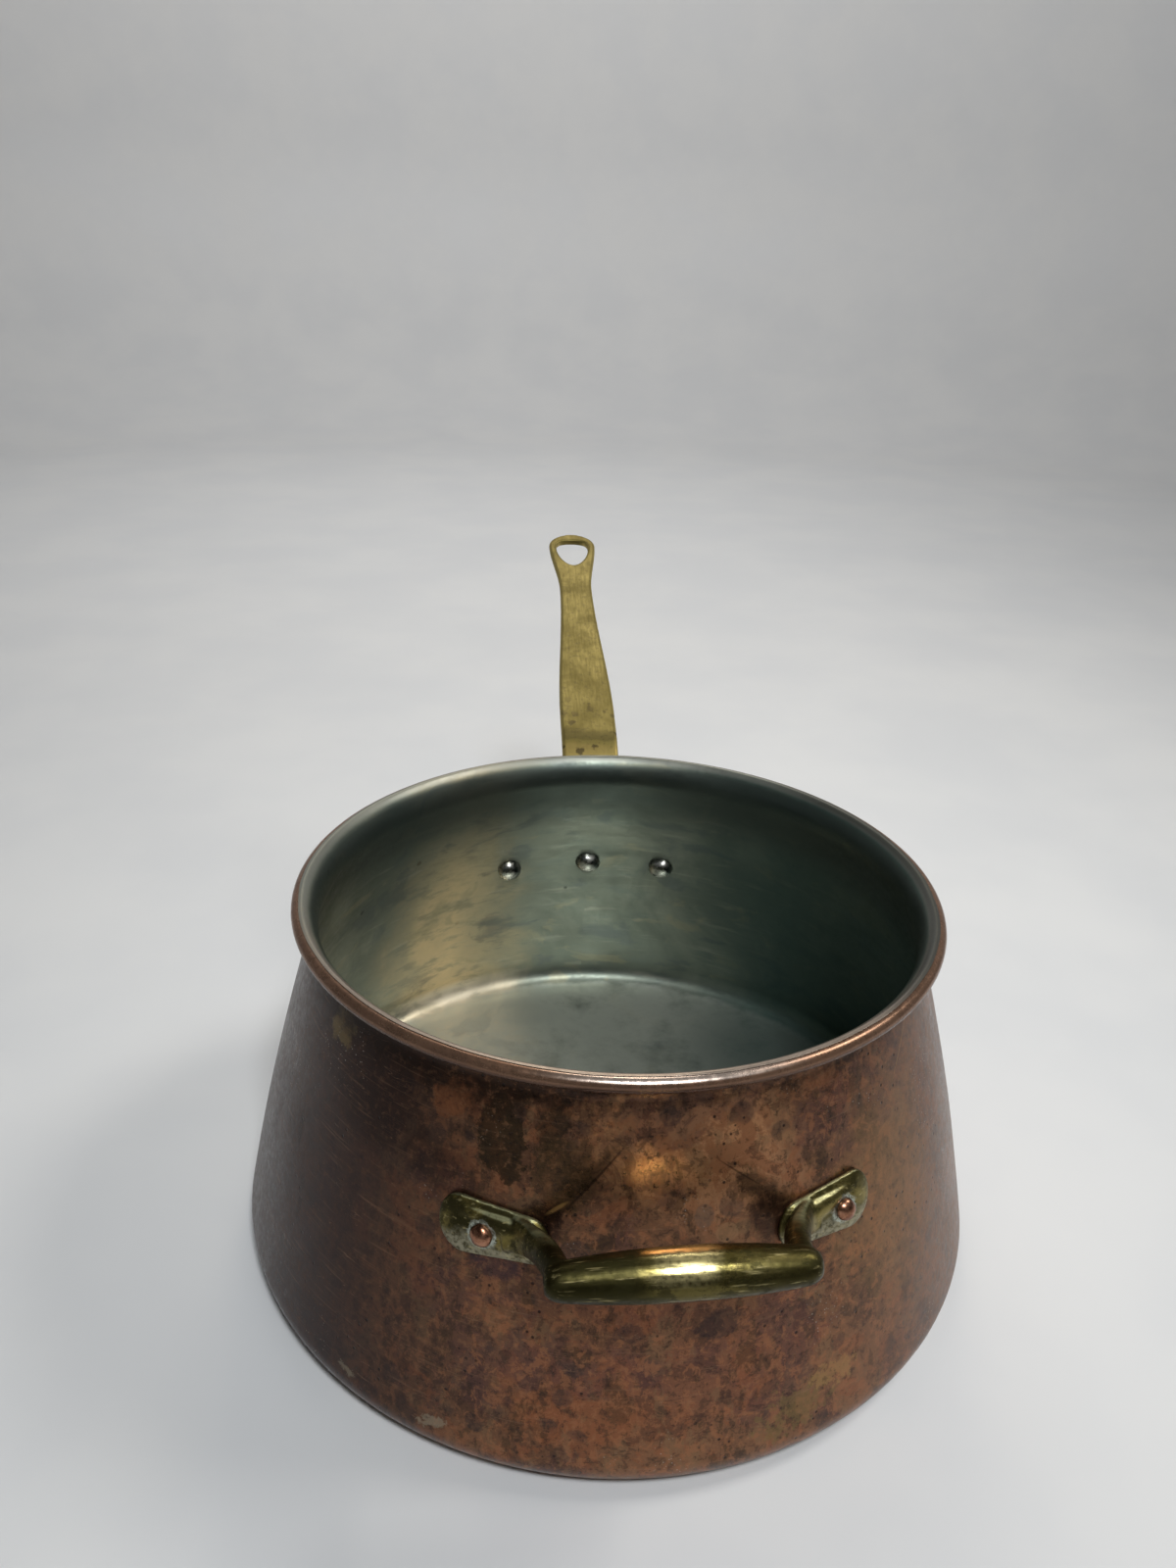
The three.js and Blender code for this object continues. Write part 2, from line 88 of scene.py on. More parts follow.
# Body: outer sizes of the copper
PAN_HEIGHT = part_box("copper_body")[1].z
BELT_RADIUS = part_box("copper_body")[1].x
RIM_RADIUS = 100 * MM
CORNER_RADIUS = 9.2 * MM
FOOT_LEAN = 11.5 * DEGREE
NECK_LEAN = 17.5 * DEGREE
COPPER_THICKNESS = 1.3 * MM
BEAD_RADIUS = 2.2 * MM
FLARE_RADIUS = 9.9 * MM
FLARE_END = 130 * DEGREE
CURL_END = -140 * DEGREE

# Tin lining: a thin skin that runs out on top of the rim in an uneven line, which is a sum of
# waves, each with its count round the pan, its share and its shift
TIN_THICKNESS = 0.3 * MM
TIN_GAP = 0.15 * MM
TIN_END = 91 * DEGREE
TIN_END_WANDER = 10 * DEGREE
TIN_END_WAVES = [
    (2, 1.0, 0.4), (3, 0.8, 2.2), (7, 0.9, 1.0), (13, 0.7, 3.3), (22, 0.5, 5.0), (37, 0.35, 0.2)]
TIN_FEATHER = 25 * DEGREE
TIN_EDGE_SHARE = 0.12

# Hand work: waves of the wall, each with its count round the pan, its turn with height, its share
# and its shift, how far they move the wall in and out, and how far the base is hollow
WAVES = [(3, 4, 1.0, 0.6), (5, -9, 0.7, 2.1), (8, 14, 0.5, 4.0)]
WAVE_REACH = 0.09 * MM
BASE_HOLLOW = 0.35 * MM

# Long handle
TIP_BEYOND_RIM = 148 * MM
TIP_ABOVE_RIM = 52.8 * MM
HANDLE_SLOPE = 20.8 * DEGREE
BEND_REACH = 27 * MM
STRAP_ROOT_WIDTH = 22.2 * MM
STRAP_NECK_WIDTH = 14.6 * MM
STRAP_ROOT_THICKNESS = 4.6 * MM
STRAP_TIP_THICKNESS = 3.2 * MM
STRAP_EDGE = 1.2 * MM
TAPER_START = 130 * MM
NECK_FROM_TIP = 43 * MM
EYE_WIDTH = 22 * MM
EYE_ROUNDING = 9 * MM
EYE_TAPER_START = 7 * MM
EYE_HOLE_WIDTH = 15 * MM
EYE_HOLE_LENGTH = 20 * MM
EYE_HOLE_FROM_TIP = 4.9 * MM
EYE_HOLE_WIDEST = 5.6 * MM
EYE_HOLE_EDGE = 0.9 * MM
EYE_HOLE_BLUNT_REACH = 4.5 * MM
EYE_HOLE_CORNER_REACH = 4.8 * MM
EYE_HOLE_SIDE_REACH = 7 * MM
EYE_HOLE_POINT_REACH = 3.4 * MM

# Flange of the long handle
RIVET_HEIGHT = 68.3 * MM
RIVET_SAG = 0.7 * MM
RIVET_SPACING_LEFT = 32.8 * MM
RIVET_SPACING_RIGHT = 30.2 * MM
FLANGE_THICKNESS = 4 * MM
FLANGE_EDGE_THICKNESS = 2.8 * MM
FLANGE_END_RADIUS = 11 * MM
FLANGE_DROP = 14 * MM
FLANGE_RISE = 24 * MM
STRAP_FOOT_CLEARANCE = 2 * MM

# Helper handle
HELPER_TURN = 2 * DEGREE
HELPER_RIVET_HEIGHT = 70.8 * MM
HELPER_RIVET_INSET = 9.9 * MM
HELPER_RIVET_SHIFT = 1.1 * MM
PAD_SPAN = 112 * MM
PAD_RADIUS = 5.7 * MM
PAD_THICKNESS = 2.4 * MM
PAD_EDGE = 1.1 * MM
PAD_TAPER_RADIUS = 4.6 * MM
PAD_UPPER_GROWTH = 1.40
PAD_LOWER_GROWTH = 1.18
# The rib on a pad, at each end: across, above the rivet, half thickness and half height
RIDGE_FAR_END = np.array([51, 4.6, 0.6, 1.6]) * MM
RIDGE_NEAR_END = np.array([34, 1.6, 2.2, 3.6]) * MM
RIDGE_DEPTH = 1.8 * MM
GRIP_REACH = 21.3 * MM
GRIP_TILT = 31.5 * DEGREE
GRIP_LENGTH = 65.5 * MM
GRIP_MIDDLE_WIDTH = 12.4 * MM
GRIP_END_WIDTH = 8.6 * MM
GRIP_MIDDLE_THICKNESS = 12.4 * MM
GRIP_END_THICKNESS = 8.2 * MM
GRIP_END_BLUNTNESS = 0.45
ARM_INSET = 3.85 * MM
ARM_WIDTH = 6.6 * MM
ARM_HEIGHT = 7.8 * MM
ARM_ROOT_CLEARANCE = 1.9 * MM
ARM_ELBOW_RISE = 3 * MM
SECTION_POWER = 0.97

# Rivets
LONG_RIVET = {"shank": 2.5 * MM, "inner_head": 4.85 * MM, "inner_rise": 3.8 * MM,
              "outer_head": 4.6 * MM, "outer_rise": 2.2 * MM}
HELPER_RIVET = {"shank": 1.7 * MM, "inner_head": 3.4 * MM, "inner_rise": 1.4 * MM,
                "outer_head": 3 * MM, "outer_rise": 2.1 * MM}
HEAD_OVAL = 0.03
HEAD_LOBES = 0.02

# Clearances, how far cutters reach past a face, and the fineness of the skins
SEAT_GAP = 0.3 * MM
HEAD_GAP = 0.15 * MM
HOLE_CLEARANCE = 0.3 * MM
HOLE_REACH = 14 * MM
CUT_BEYOND = 2 * MM
BODY_SEGMENTS = 256
BASE_STEPS = 11
CORNER_STEPS = 12
WALL_STEPS = 40
FLARE_STEPS = 14
BEAD_STEPS = 24
RIVET_SEGMENTS = 40
STRAP_VOXEL = 0.42 * MM
HELPER_VOXEL = 0.35 * MM

# Floor: a pale table that turns up into a pale wall all round, far from the pan
FLOOR_REACH = 1.7
FLOOR_TURN = 0.5
FLOOR_RISE = 1.5
FLOOR_DROP = 0.05 * MM
FLOOR_RINGS = (0.15, 0.3, 0.6, 1.1)
FLOOR_SEGMENTS = 96


def unit(vector):
    """A vector, or rows of vectors, scaled to length 1."""
    return vector / np.linalg.norm(vector, axis=-1, keepdims=True)


def smoothstep(value, low, high):
    """0 below low, 1 above high, and a smooth step between them."""
    share = np.clip((value - low) / (high - low), 0, 1)
    return share * share * (3 - 2 * share)


def lerp(first, second, share):
    """A value between two others."""
    return first + (second - first) * share


def circle(count):
    """Angles that go once round in equal steps."""
    return np.arange(count) * 2 * math.pi / count


def round_end(distance, radius):
    """Share of the full width at a distance from a round end."""
    return math.sqrt(1 - (1 - min(1, distance / radius)) ** 2)


def polar(centre, radius, angle):
    """Points round a centre in the plane of the profile."""
    return np.stack([centre[0] + radius * np.cos(angle), centre[1] + radius * np.sin(angle)], axis=-1)


def polar_ring(radius, height, count=32):
    """A circle round +Z at a height."""
    return np.concatenate([polar((0, 0), radius, circle(count)), np.full((count, 1), height)], axis=1)


def arc(centre, radius, start, end, steps):
    """An arc of the profile, with both ends."""
    return polar(centre, radius, np.linspace(start, end, steps + 1))


def corner_of(first, first_way, second, second_way):
    """Where two lines of a plane meet."""
    share = np.linalg.solve(np.stack([first_way, -second_way], axis=-1), second - first)[0]
    return first + first_way * share


def bezier(points, share):
    """Point and tangent of a quadratic curve."""
    start, middle, end = points
    point = (1 - share) ** 2 * start + 2 * share * (1 - share) * middle + share ** 2 * end
    tangent = 2 * (1 - share) * (middle - start) + 2 * share * (end - middle)
    return point, unit(tangent)


# The profile, as radius and height: a corner, a wall that leans in, a flare and a bead
CORNER_CENTRE = np.array([BELT_RADIUS - CORNER_RADIUS, CORNER_RADIUS])
BEAD_CENTRE = np.array([RIM_RADIUS - BEAD_RADIUS, PAN_HEIGHT - BEAD_RADIUS])
FLARE_CENTRE = polar(BEAD_CENTRE, BEAD_RADIUS - FLARE_RADIUS, FLARE_END)
WALL_FOOT = polar(CORNER_CENTRE, CORNER_RADIUS, FOOT_LEAN)
WALL_NECK = polar(FLARE_CENTRE, FLARE_RADIUS - COPPER_THICKNESS, math.pi + NECK_LEAN)
FOOT_WAY = np.array([-math.sin(FOOT_LEAN), math.cos(FOOT_LEAN)])
NECK_WAY = np.array([-math.sin(NECK_LEAN), math.cos(NECK_LEAN)])
WALL_CURVE = (WALL_FOOT, corner_of(WALL_FOOT, FOOT_WAY, WALL_NECK, NECK_WAY), WALL_NECK)


def wall_share(height):
    """How far along the wall's curve a height lies."""
    foot, middle, neck = (point[1] for point in WALL_CURVE)
    square = foot - 2 * middle + neck
    linear = 2 * (middle - foot)
    rest = foot - height
    return -2 * rest / (linear + np.sqrt(linear ** 2 - 4 * square * rest))


def wall_at(height, offset):
    """Point of the profile on the outer wall, moved out by an offset, and the wall's way up."""
    share = np.atleast_1d(wall_share(height))[:, None]
    point, way = bezier(WALL_CURVE, share)
    normal = np.stack([way[:, 1], -way[:, 0]], axis=-1)
    return point + normal * np.atleast_1d(offset)[:, None], way


def wall_points(across, height, side, offset):
    """Points near the outer wall in a handle's frame, and the wall's normals there."""
    across, height = np.broadcast_arrays(np.atleast_1d(across), height)
    profile, way = wall_at(height, 0)
    azimuth = np.arcsin(across / profile[:, 0])
    normal = np.stack([np.sin(azimuth) * way[:, 1], side * np.cos(azimuth) * way[:, 1], -way[:, 0]], axis=-1)
    point = np.stack([across, side * profile[:, 0] * np.cos(azimuth), height], axis=-1)
    return point + normal * np.atleast_1d(offset)[:, None], normal


def add_object(name, vertices, faces):
    """A mesh object, with its faces turned outwards and smooth."""
    mesh = bpy.data.meshes.new(name)
    mesh.from_pydata([tuple(vertex) for vertex in vertices], [], [tuple(face) for face in faces])
    skin = bmesh.new()
    skin.from_mesh(mesh)
    bmesh.ops.remove_doubles(skin, verts=skin.verts, dist=0.002 * MM)
    bmesh.ops.recalc_face_normals(skin, faces=skin.faces)
    skin.to_mesh(mesh)
    skin.free()
    mesh.shade_smooth()
    piece = bpy.data.objects.new(name, mesh)
    scene.collection.objects.link(piece)
    return piece


def settle(piece):
    """Applies an object's modifiers to its mesh."""
    graph = bpy.context.evaluated_depsgraph_get()
    mesh = bpy.data.meshes.new_from_object(piece.evaluated_get(graph))
    piece.modifiers.clear()
    piece.data = mesh
    return piece


def loft(rings):
    """Vertices and faces of a skin over rings that go round the same way, closed at its ends."""
    count = len(rings[0])
    vertices = np.concatenate(rings)
    faces = []
    for ring in range(len(rings) - 1):
        for i in range(count):
            first = ring * count + i
            second = ring * count + (i + 1) % count
            faces.append((first, second, second + count, first + count))
    last = (len(rings) - 1) * count
    faces.append(tuple(range(count - 1, -1, -1)))
    faces.append(tuple(range(last, last + count)))
    return vertices, faces


def turned(profile, segments):
    """Vertices and faces of a profile turned about +Z. It starts and ends on the axis.

    The profile holds radius and height for each of its points, or for each angle and point.
    """
    angles = circle(segments)
    if profile.ndim == 2:
        profile = np.repeat(profile[None], segments, axis=0)
    radius, height = profile[:, 1:-1, 0], profile[:, 1:-1, 1]
    ring = np.stack([radius * np.cos(angles)[:, None], radius * np.sin(angles)[:, None], height], axis=-1)
    rows = ring.shape[1]
    vertices = [(0, 0, profile[0, 0, 1]), (0, 0, profile[0, -1, 1]), *ring.reshape(-1, 3)]
    faces = []
    for i in range(segments):
        here = 2 + i * rows
        there = 2 + (i + 1) % segments * rows
        faces.append((0, there, here))
        faces.append((1, here + rows - 1, there + rows - 1))
        faces.extend((here + k, there + k, there + k + 1, here + k + 1) for k in range(rows - 1))
    return np.array(vertices), faces


def joined(name, skins):
    """One object from several closed skins."""
    vertices, faces, start = [], [], 0
    for points, corners in skins:
        vertices.append(points)
        faces.extend(tuple(corner + start for corner in face) for face in corners)
        start += len(points)
    return add_object(name, np.concatenate(vertices), faces)


def fused(piece, voxel, smoothing):
    """Melts overlapping skins of a piece into one, as a casting is, and smooths it."""
    remesh = piece.modifiers.new("fuse", "REMESH")
    remesh.mode = "VOXEL"
    remesh.voxel_size = voxel
    remesh.use_smooth_shade = True
    smooth = piece.modifiers.new("smooth", "SMOOTH")
    smooth.factor = 0.5
    smooth.iterations = smoothing
    return settle(piece)


def drilled(piece, cutters):
    """Cuts other objects out of a piece, and deletes them."""
    for cutter in cutters:
        cut = piece.modifiers.new("cut", "BOOLEAN")
        cut.operation = "DIFFERENCE"
        cut.solver = "EXACT"
        cut.object = cutter
    settle(piece)
    for cutter in cutters:
        bpy.data.objects.remove(cutter)
    return piece


def add_camera():
    """The camera of the photo."""
    heading = CAMERA_YAW - CAMERA_AZIMUTH
    turn = (Matrix.Rotation(-heading, 4, "Z") @ Matrix.Rotation(math.pi / 2 - CAMERA_PITCH, 4, "X")
            @ Matrix.Rotation(-CAMERA_ROLL, 4, "Z"))
    data = bpy.data.cameras.new("camera")
    data.sensor_width = CAMERA_SENSOR
    data.lens = CAMERA_LENS
    camera = bpy.data.objects.new("camera", data)
    place = Vector((CAMERA_DISTANCE * math.sin(CAMERA_AZIMUTH),
                    -CAMERA_DISTANCE * math.cos(CAMERA_AZIMUTH), CAMERA_HEIGHT))
    camera.matrix_world = Matrix.Translation(place) @ turn
    scene.collection.objects.link(camera)
    scene.camera = camera


add_camera()


class Value:
    """A value that the nodes of a material work out. Arithmetic on it adds nodes."""

    def __init__(self, finish, socket):
        self.finish = finish
        self.socket = socket

    def __add__(self, other):
        return self.finish.math("ADD", self, other)

    def __sub__(self, other):
        return self.finish.math("SUBTRACT", self, other)

    def __rsub__(self, other):
        return self.finish.math("SUBTRACT", other, self)

    def __mul__(self, other):
        return self.finish.math("MULTIPLY", self, other)

    def __truediv__(self, other):
        return self.finish.math("DIVIDE", self, other)

    def __abs__(self):
        return self.finish.math("ABSOLUTE", self)

    def step(self, low, high, start=0.0, end=1.0):
        """A smooth step from start at low to end at high."""
        inputs = {0: self, 1: low, 2: high, 3: start, 4: end}
        return self.finish.add("MapRange", inputs, interpolation_type="SMOOTHSTEP")[0]


class Finish:
    """A material under construction. Its colour is laid on in coats, one over another."""

    def __init__(self, name, metallic):
        self.material = bpy.data.materials.new(name)
        self.material.use_nodes = True
        self.tree = self.material.node_tree
        self.shader = self.tree.nodes["Principled BSDF"]
        self.shader.inputs["Metallic"].default_value = metallic
        coordinates = self.tree.nodes.new("ShaderNodeTexCoord").outputs
        self.place = Value(self, coordinates["Object"])
        self.facing = Value(self, coordinates["Normal"])
        self.colour = (0.0, 0.0, 0.0)

    def feed(self, socket, value):
        """Gives a socket a link or a value of its own."""
        if isinstance(value, Value):
            self.tree.links.new(value.socket, socket)
        elif socket.type == "RGBA":
            socket.default_value = (*value, 1)
        else:
            socket.default_value = value

    def add(self, kind, inputs, **settings):
        """Adds a node with its settings and inputs, and gives its outputs."""
        node = self.tree.nodes.new("ShaderNode" + kind)
        for name, setting in settings.items():
            setattr(node, name, setting)
        for socket, value in inputs.items():
            self.feed(node.inputs[socket], value)
        return [Value(self, output) for output in node.outputs]

    def math(self, operation, first, second=0.0):
        """One step of arithmetic."""
        return self.add("Math", {0: first, 1: second}, operation=operation)[0]

    def distance(self, first, second=(0, 0, 0)):
        """How far one place is from another."""
        return self.add("VectorMath", {0: first, 1: second}, operation="DISTANCE")[1]

    def split(self, vector):
        """The three parts of a vector."""
        return self.add("SeparateXYZ", {0: vector})

    def from_axis(self):
        """Distance from the pan's axis."""
        x, y, _ = self.split(self.place)
        return self.math("SQRT", x * x + y * y)

    def unrolled(self):
        """The azimuth, and the place on the body's wall rolled out flat."""
        x, y, height = self.split(self.place)
        azimuth = self.math("ARCTAN2", x, y * -1.0)
        return azimuth, self.add("CombineXYZ", {0: azimuth * WALL_REACH, 1: height, 2: 0.0})[0]

    def mapped(self, place, kind="POINT", **frame):
        """A place turned, stretched and shifted. TEXTURE instead gives the place within such a frame."""
        sockets = {"turn": "Rotation", "size": "Scale", "shift": "Location"}
        inputs = {"Vector": place, **{sockets[name]: value for name, value in frame.items()}}
        return self.add("Mapping", inputs, vector_type=kind)[0]

    def noise(self, scale, place=None, detail=3.0, roughness=0.55, distortion=0.0, **frame):
        """Cloudy noise about 0.5, in waves per metre. Its place may be turned, stretched and shifted."""
        place = place or self.place
        if frame:
            place = self.mapped(place, **frame)
        return self.add("TexNoise", {"Vector": place, "Scale": scale, "Detail": detail,
                                     "Roughness": roughness, "Distortion": distortion})[0]

    def cells(self, scale, shift=(0, 0, 0)):
        """Distance to the nearest of scattered points, in cells."""
        return self.add("TexVoronoi", {"Vector": self.mapped(self.place, shift=shift), "Scale": scale})[0]

    def mix(self, share, first, second):
        """A colour between two others."""
        return self.add("Mix", {0: share, 6: first, 7: second}, data_type="RGBA")[2]

    def lay(self, tint, share):
        """Lays a coat of a tint over the colour."""
        self.colour = self.mix(share, self.colour, tint)

    def finish(self, roughness, relief, depth):
        """Connects the colour, the roughness and the bump, and gives the material."""
        bump = self.add("Bump", {"Height": relief, "Distance": depth})[0]
        self.feed(self.shader.inputs["Base Color"], self.colour)
        self.feed(self.shader.inputs["Roughness"], roughness)
        self.feed(self.shader.inputs["Normal"], bump)
        return self.material


# Rivets of each handle: name, place across and height
LONG_RIVETS = [
    ("left", -RIVET_SPACING_LEFT, RIVET_HEIGHT - RIVET_SAG),
    ("centre", 0.0, RIVET_HEIGHT),
    ("right", RIVET_SPACING_RIGHT, RIVET_HEIGHT - RIVET_SAG),
]
HELPER_RIVET_REACH = PAD_SPAN / 2 - HELPER_RIVET_INSET
HELPER_RIVETS = [
    ("left", HELPER_RIVET_SHIFT - HELPER_RIVET_REACH, HELPER_RIVET_HEIGHT),
    ("right", HELPER_RIVET_SHIFT + HELPER_RIVET_REACH, HELPER_RIVET_HEIGHT),
]
HELPER_TURNED = Matrix.Rotation(HELPER_TURN, 4, "Z")

# The mean radius of the wall, by which it is rolled out flat
WALL_REACH = 110 * MM

# Colours of marks on the body
OLIVE = (0.030, 0.019, 0.008)
UMBER = (0.022, 0.010, 0.007)
PLUM = (0.040, 0.026, 0.026)
ORANGE = (0.300, 0.105, 0.038)
RED = (0.210, 0.078, 0.046)
GOLD = (0.420, 0.235, 0.085)
MOSS = (0.200, 0.140, 0.050)
CHALK = (0.340, 0.290, 0.200)

# Marks on the body, as on the photographed pan: azimuth in degrees, height, half width and half
# height in millimetres, turn in degrees, how ragged and how soft the edge is, strength and colour.
# The sheen and red patches lie under the mottling, and the stains, with some painted contact shade, and the
# scratches over it.
PAINTED_SHEEN_AND_RED_PATCHES = [
    # Painted sheen on the upper front of the body
    (5, 97, 26, 13, 0, 1.6, 0.60, 0.90, (0.680, 0.325, 0.145)),
    (13, 87, 22, 12, -10, 1.6, 0.70, 0.75, (0.480, 0.235, 0.115)),
    (-2, 101, 9, 5, 0, 6.0, 0.20, 0.55, (0.520, 0.215, 0.085)),
    # Reddened copper lower on the front
    (-2, 55, 22, 6, 0, 1.8, 0.50, 0.45, RED),
    (4, 34, 34, 13, 5, 2.4, 0.40, 0.50, RED),
    (-8, 24, 22, 7, 0, 2.6, 0.30, 0.45, ORANGE),
]
STAINS_AND_CONTACT_SHADE = [
    (-22.5, 94, 7, 11, 20, 2.2, 0.05, 0.80, OLIVE),
    (-15, 99, 4.5, 7, -20, 2.2, 0.08, 0.60, OLIVE),
    (-31, 101, 7, 4.5, 10, 2.4, 0.15, 0.50, ORANGE),
    (-56, 103, 6, 5, 0, 2.2, 0.20, 0.60, MOSS),
    (-13, 88, 8, 10, 38, 1.2, 0.20, 0.50, (0.075, 0.046, 0.018)),
    (-45, 92, 16, 12, 10, 2.0, 0.40, 0.60, UMBER),
    (-33, 84, 12, 6, -15, 2.0, 0.40, 0.50, UMBER),
    (7.1, 78.4, 2.8, 3.2, 0, 0.5, 0.10, 0.50, (0.15, 0.100, 0.072)),
    (10.4, 73.2, 3.2, 2.6, 0, 0.5, 0.08, 0.65, (0.32, 0.175, 0.085)),
    (12.8, 74.0, 2.4, 2.2, 0, 0.5, 0.10, 0.35, (0.24, 0.150, 0.075)),
    # Dark smudges by the helper's arms: grime with painted contact shade
    (-15, 76, 5, 5, 30, 1.8, 0.35, 0.80, UMBER),
    (17, 76, 6, 7, -30, 1.8, 0.35, 0.80, UMBER),
    (-21, 62, 7, 3.5, 0, 1.8, 0.30, 0.50, (0.035, 0.020, 0.036)),
    (9, 49, 6, 4, 15, 2.4, 0.10, 0.60, PLUM),
    (-3, 48.5, 4, 2.5, 0, 2.4, 0.10, 0.55, PLUM),
    (22, 45, 5, 3, 30, 2.4, 0.10, 0.45, PLUM),
    (20, 19, 9, 4.5, 10, 7.0, 0.10, 0.50, MOSS),
    (26, 24, 6, 3, 0, 7.0, 0.10, 0.45, GOLD),
    (-28, 12.5, 2.6, 1.3, 10, 9.0, 0.30, 0.50, CHALK),
    (-42, 13, 2.2, 1.2, -10, 9.0, 0.30, 0.40, CHALK),
    (-62, 66, 1.3, 5.5, 8, 1.0, 0.25, 0.85, UMBER),
    (-58, 45, 1.1, 4, -6, 1.0, 0.25, 0.70, UMBER),
    (-66, 84, 1.2, 3.5, 10, 1.0, 0.25, 0.60, UMBER),
    (40, 66, 20, 26, 0, 2.0, 0.60, 0.25, GOLD),
    (96, 60, 24, 22, 10, 2.0, 0.50, 0.40, RED),
    (150, 85, 20, 10, 0, 2.0, 0.40, 0.50, UMBER),
    (-110, 40, 26, 12, 10, 2.0, 0.40, 0.40, RED),
    (-150, 66, 16, 20, 20, 2.0, 0.50, 0.45, UMBER),
    (140, 30, 16, 12, 0, 2.0, 0.50, 0.35, ORANGE),
]
SCRATCHES = [
    (-8.5, 88, 0.35, 11, -42, 0.5, 0.5, 0.70, UMBER),
    (-9.5, 88, 1.5, 13, -42, 1.2, 0.6, 0.55, OLIVE),
    (-13.5, 80, 0.5, 3, -55, 0.6, 0.5, 0.80, GOLD),
    (12.5, 88, 0.25, 7, 55, 0.5, 0.5, 0.60, UMBER),
    (48, 100, 0.2, 9, -50, 0.4, 0.5, 0.50, GOLD),
]


def stain(made, on_wall, ragged, marks):
    """Lays marks over the body's colour."""
    for azimuth, height, wide, tall, turn, raggedness, softness, strength, tint in marks:
        mark = {"shift": (azimuth * DEGREE * WALL_REACH, height * MM, 0),
                "size": (wide * MM, tall * MM, 1), "turn": (0, 0, turn * DEGREE)}
        off = made.distance(made.mapped(on_wall, "TEXTURE", **mark)) + ragged * raggedness
        made.lay(tint, off.step(1 + softness, 1 - softness, 0, strength))


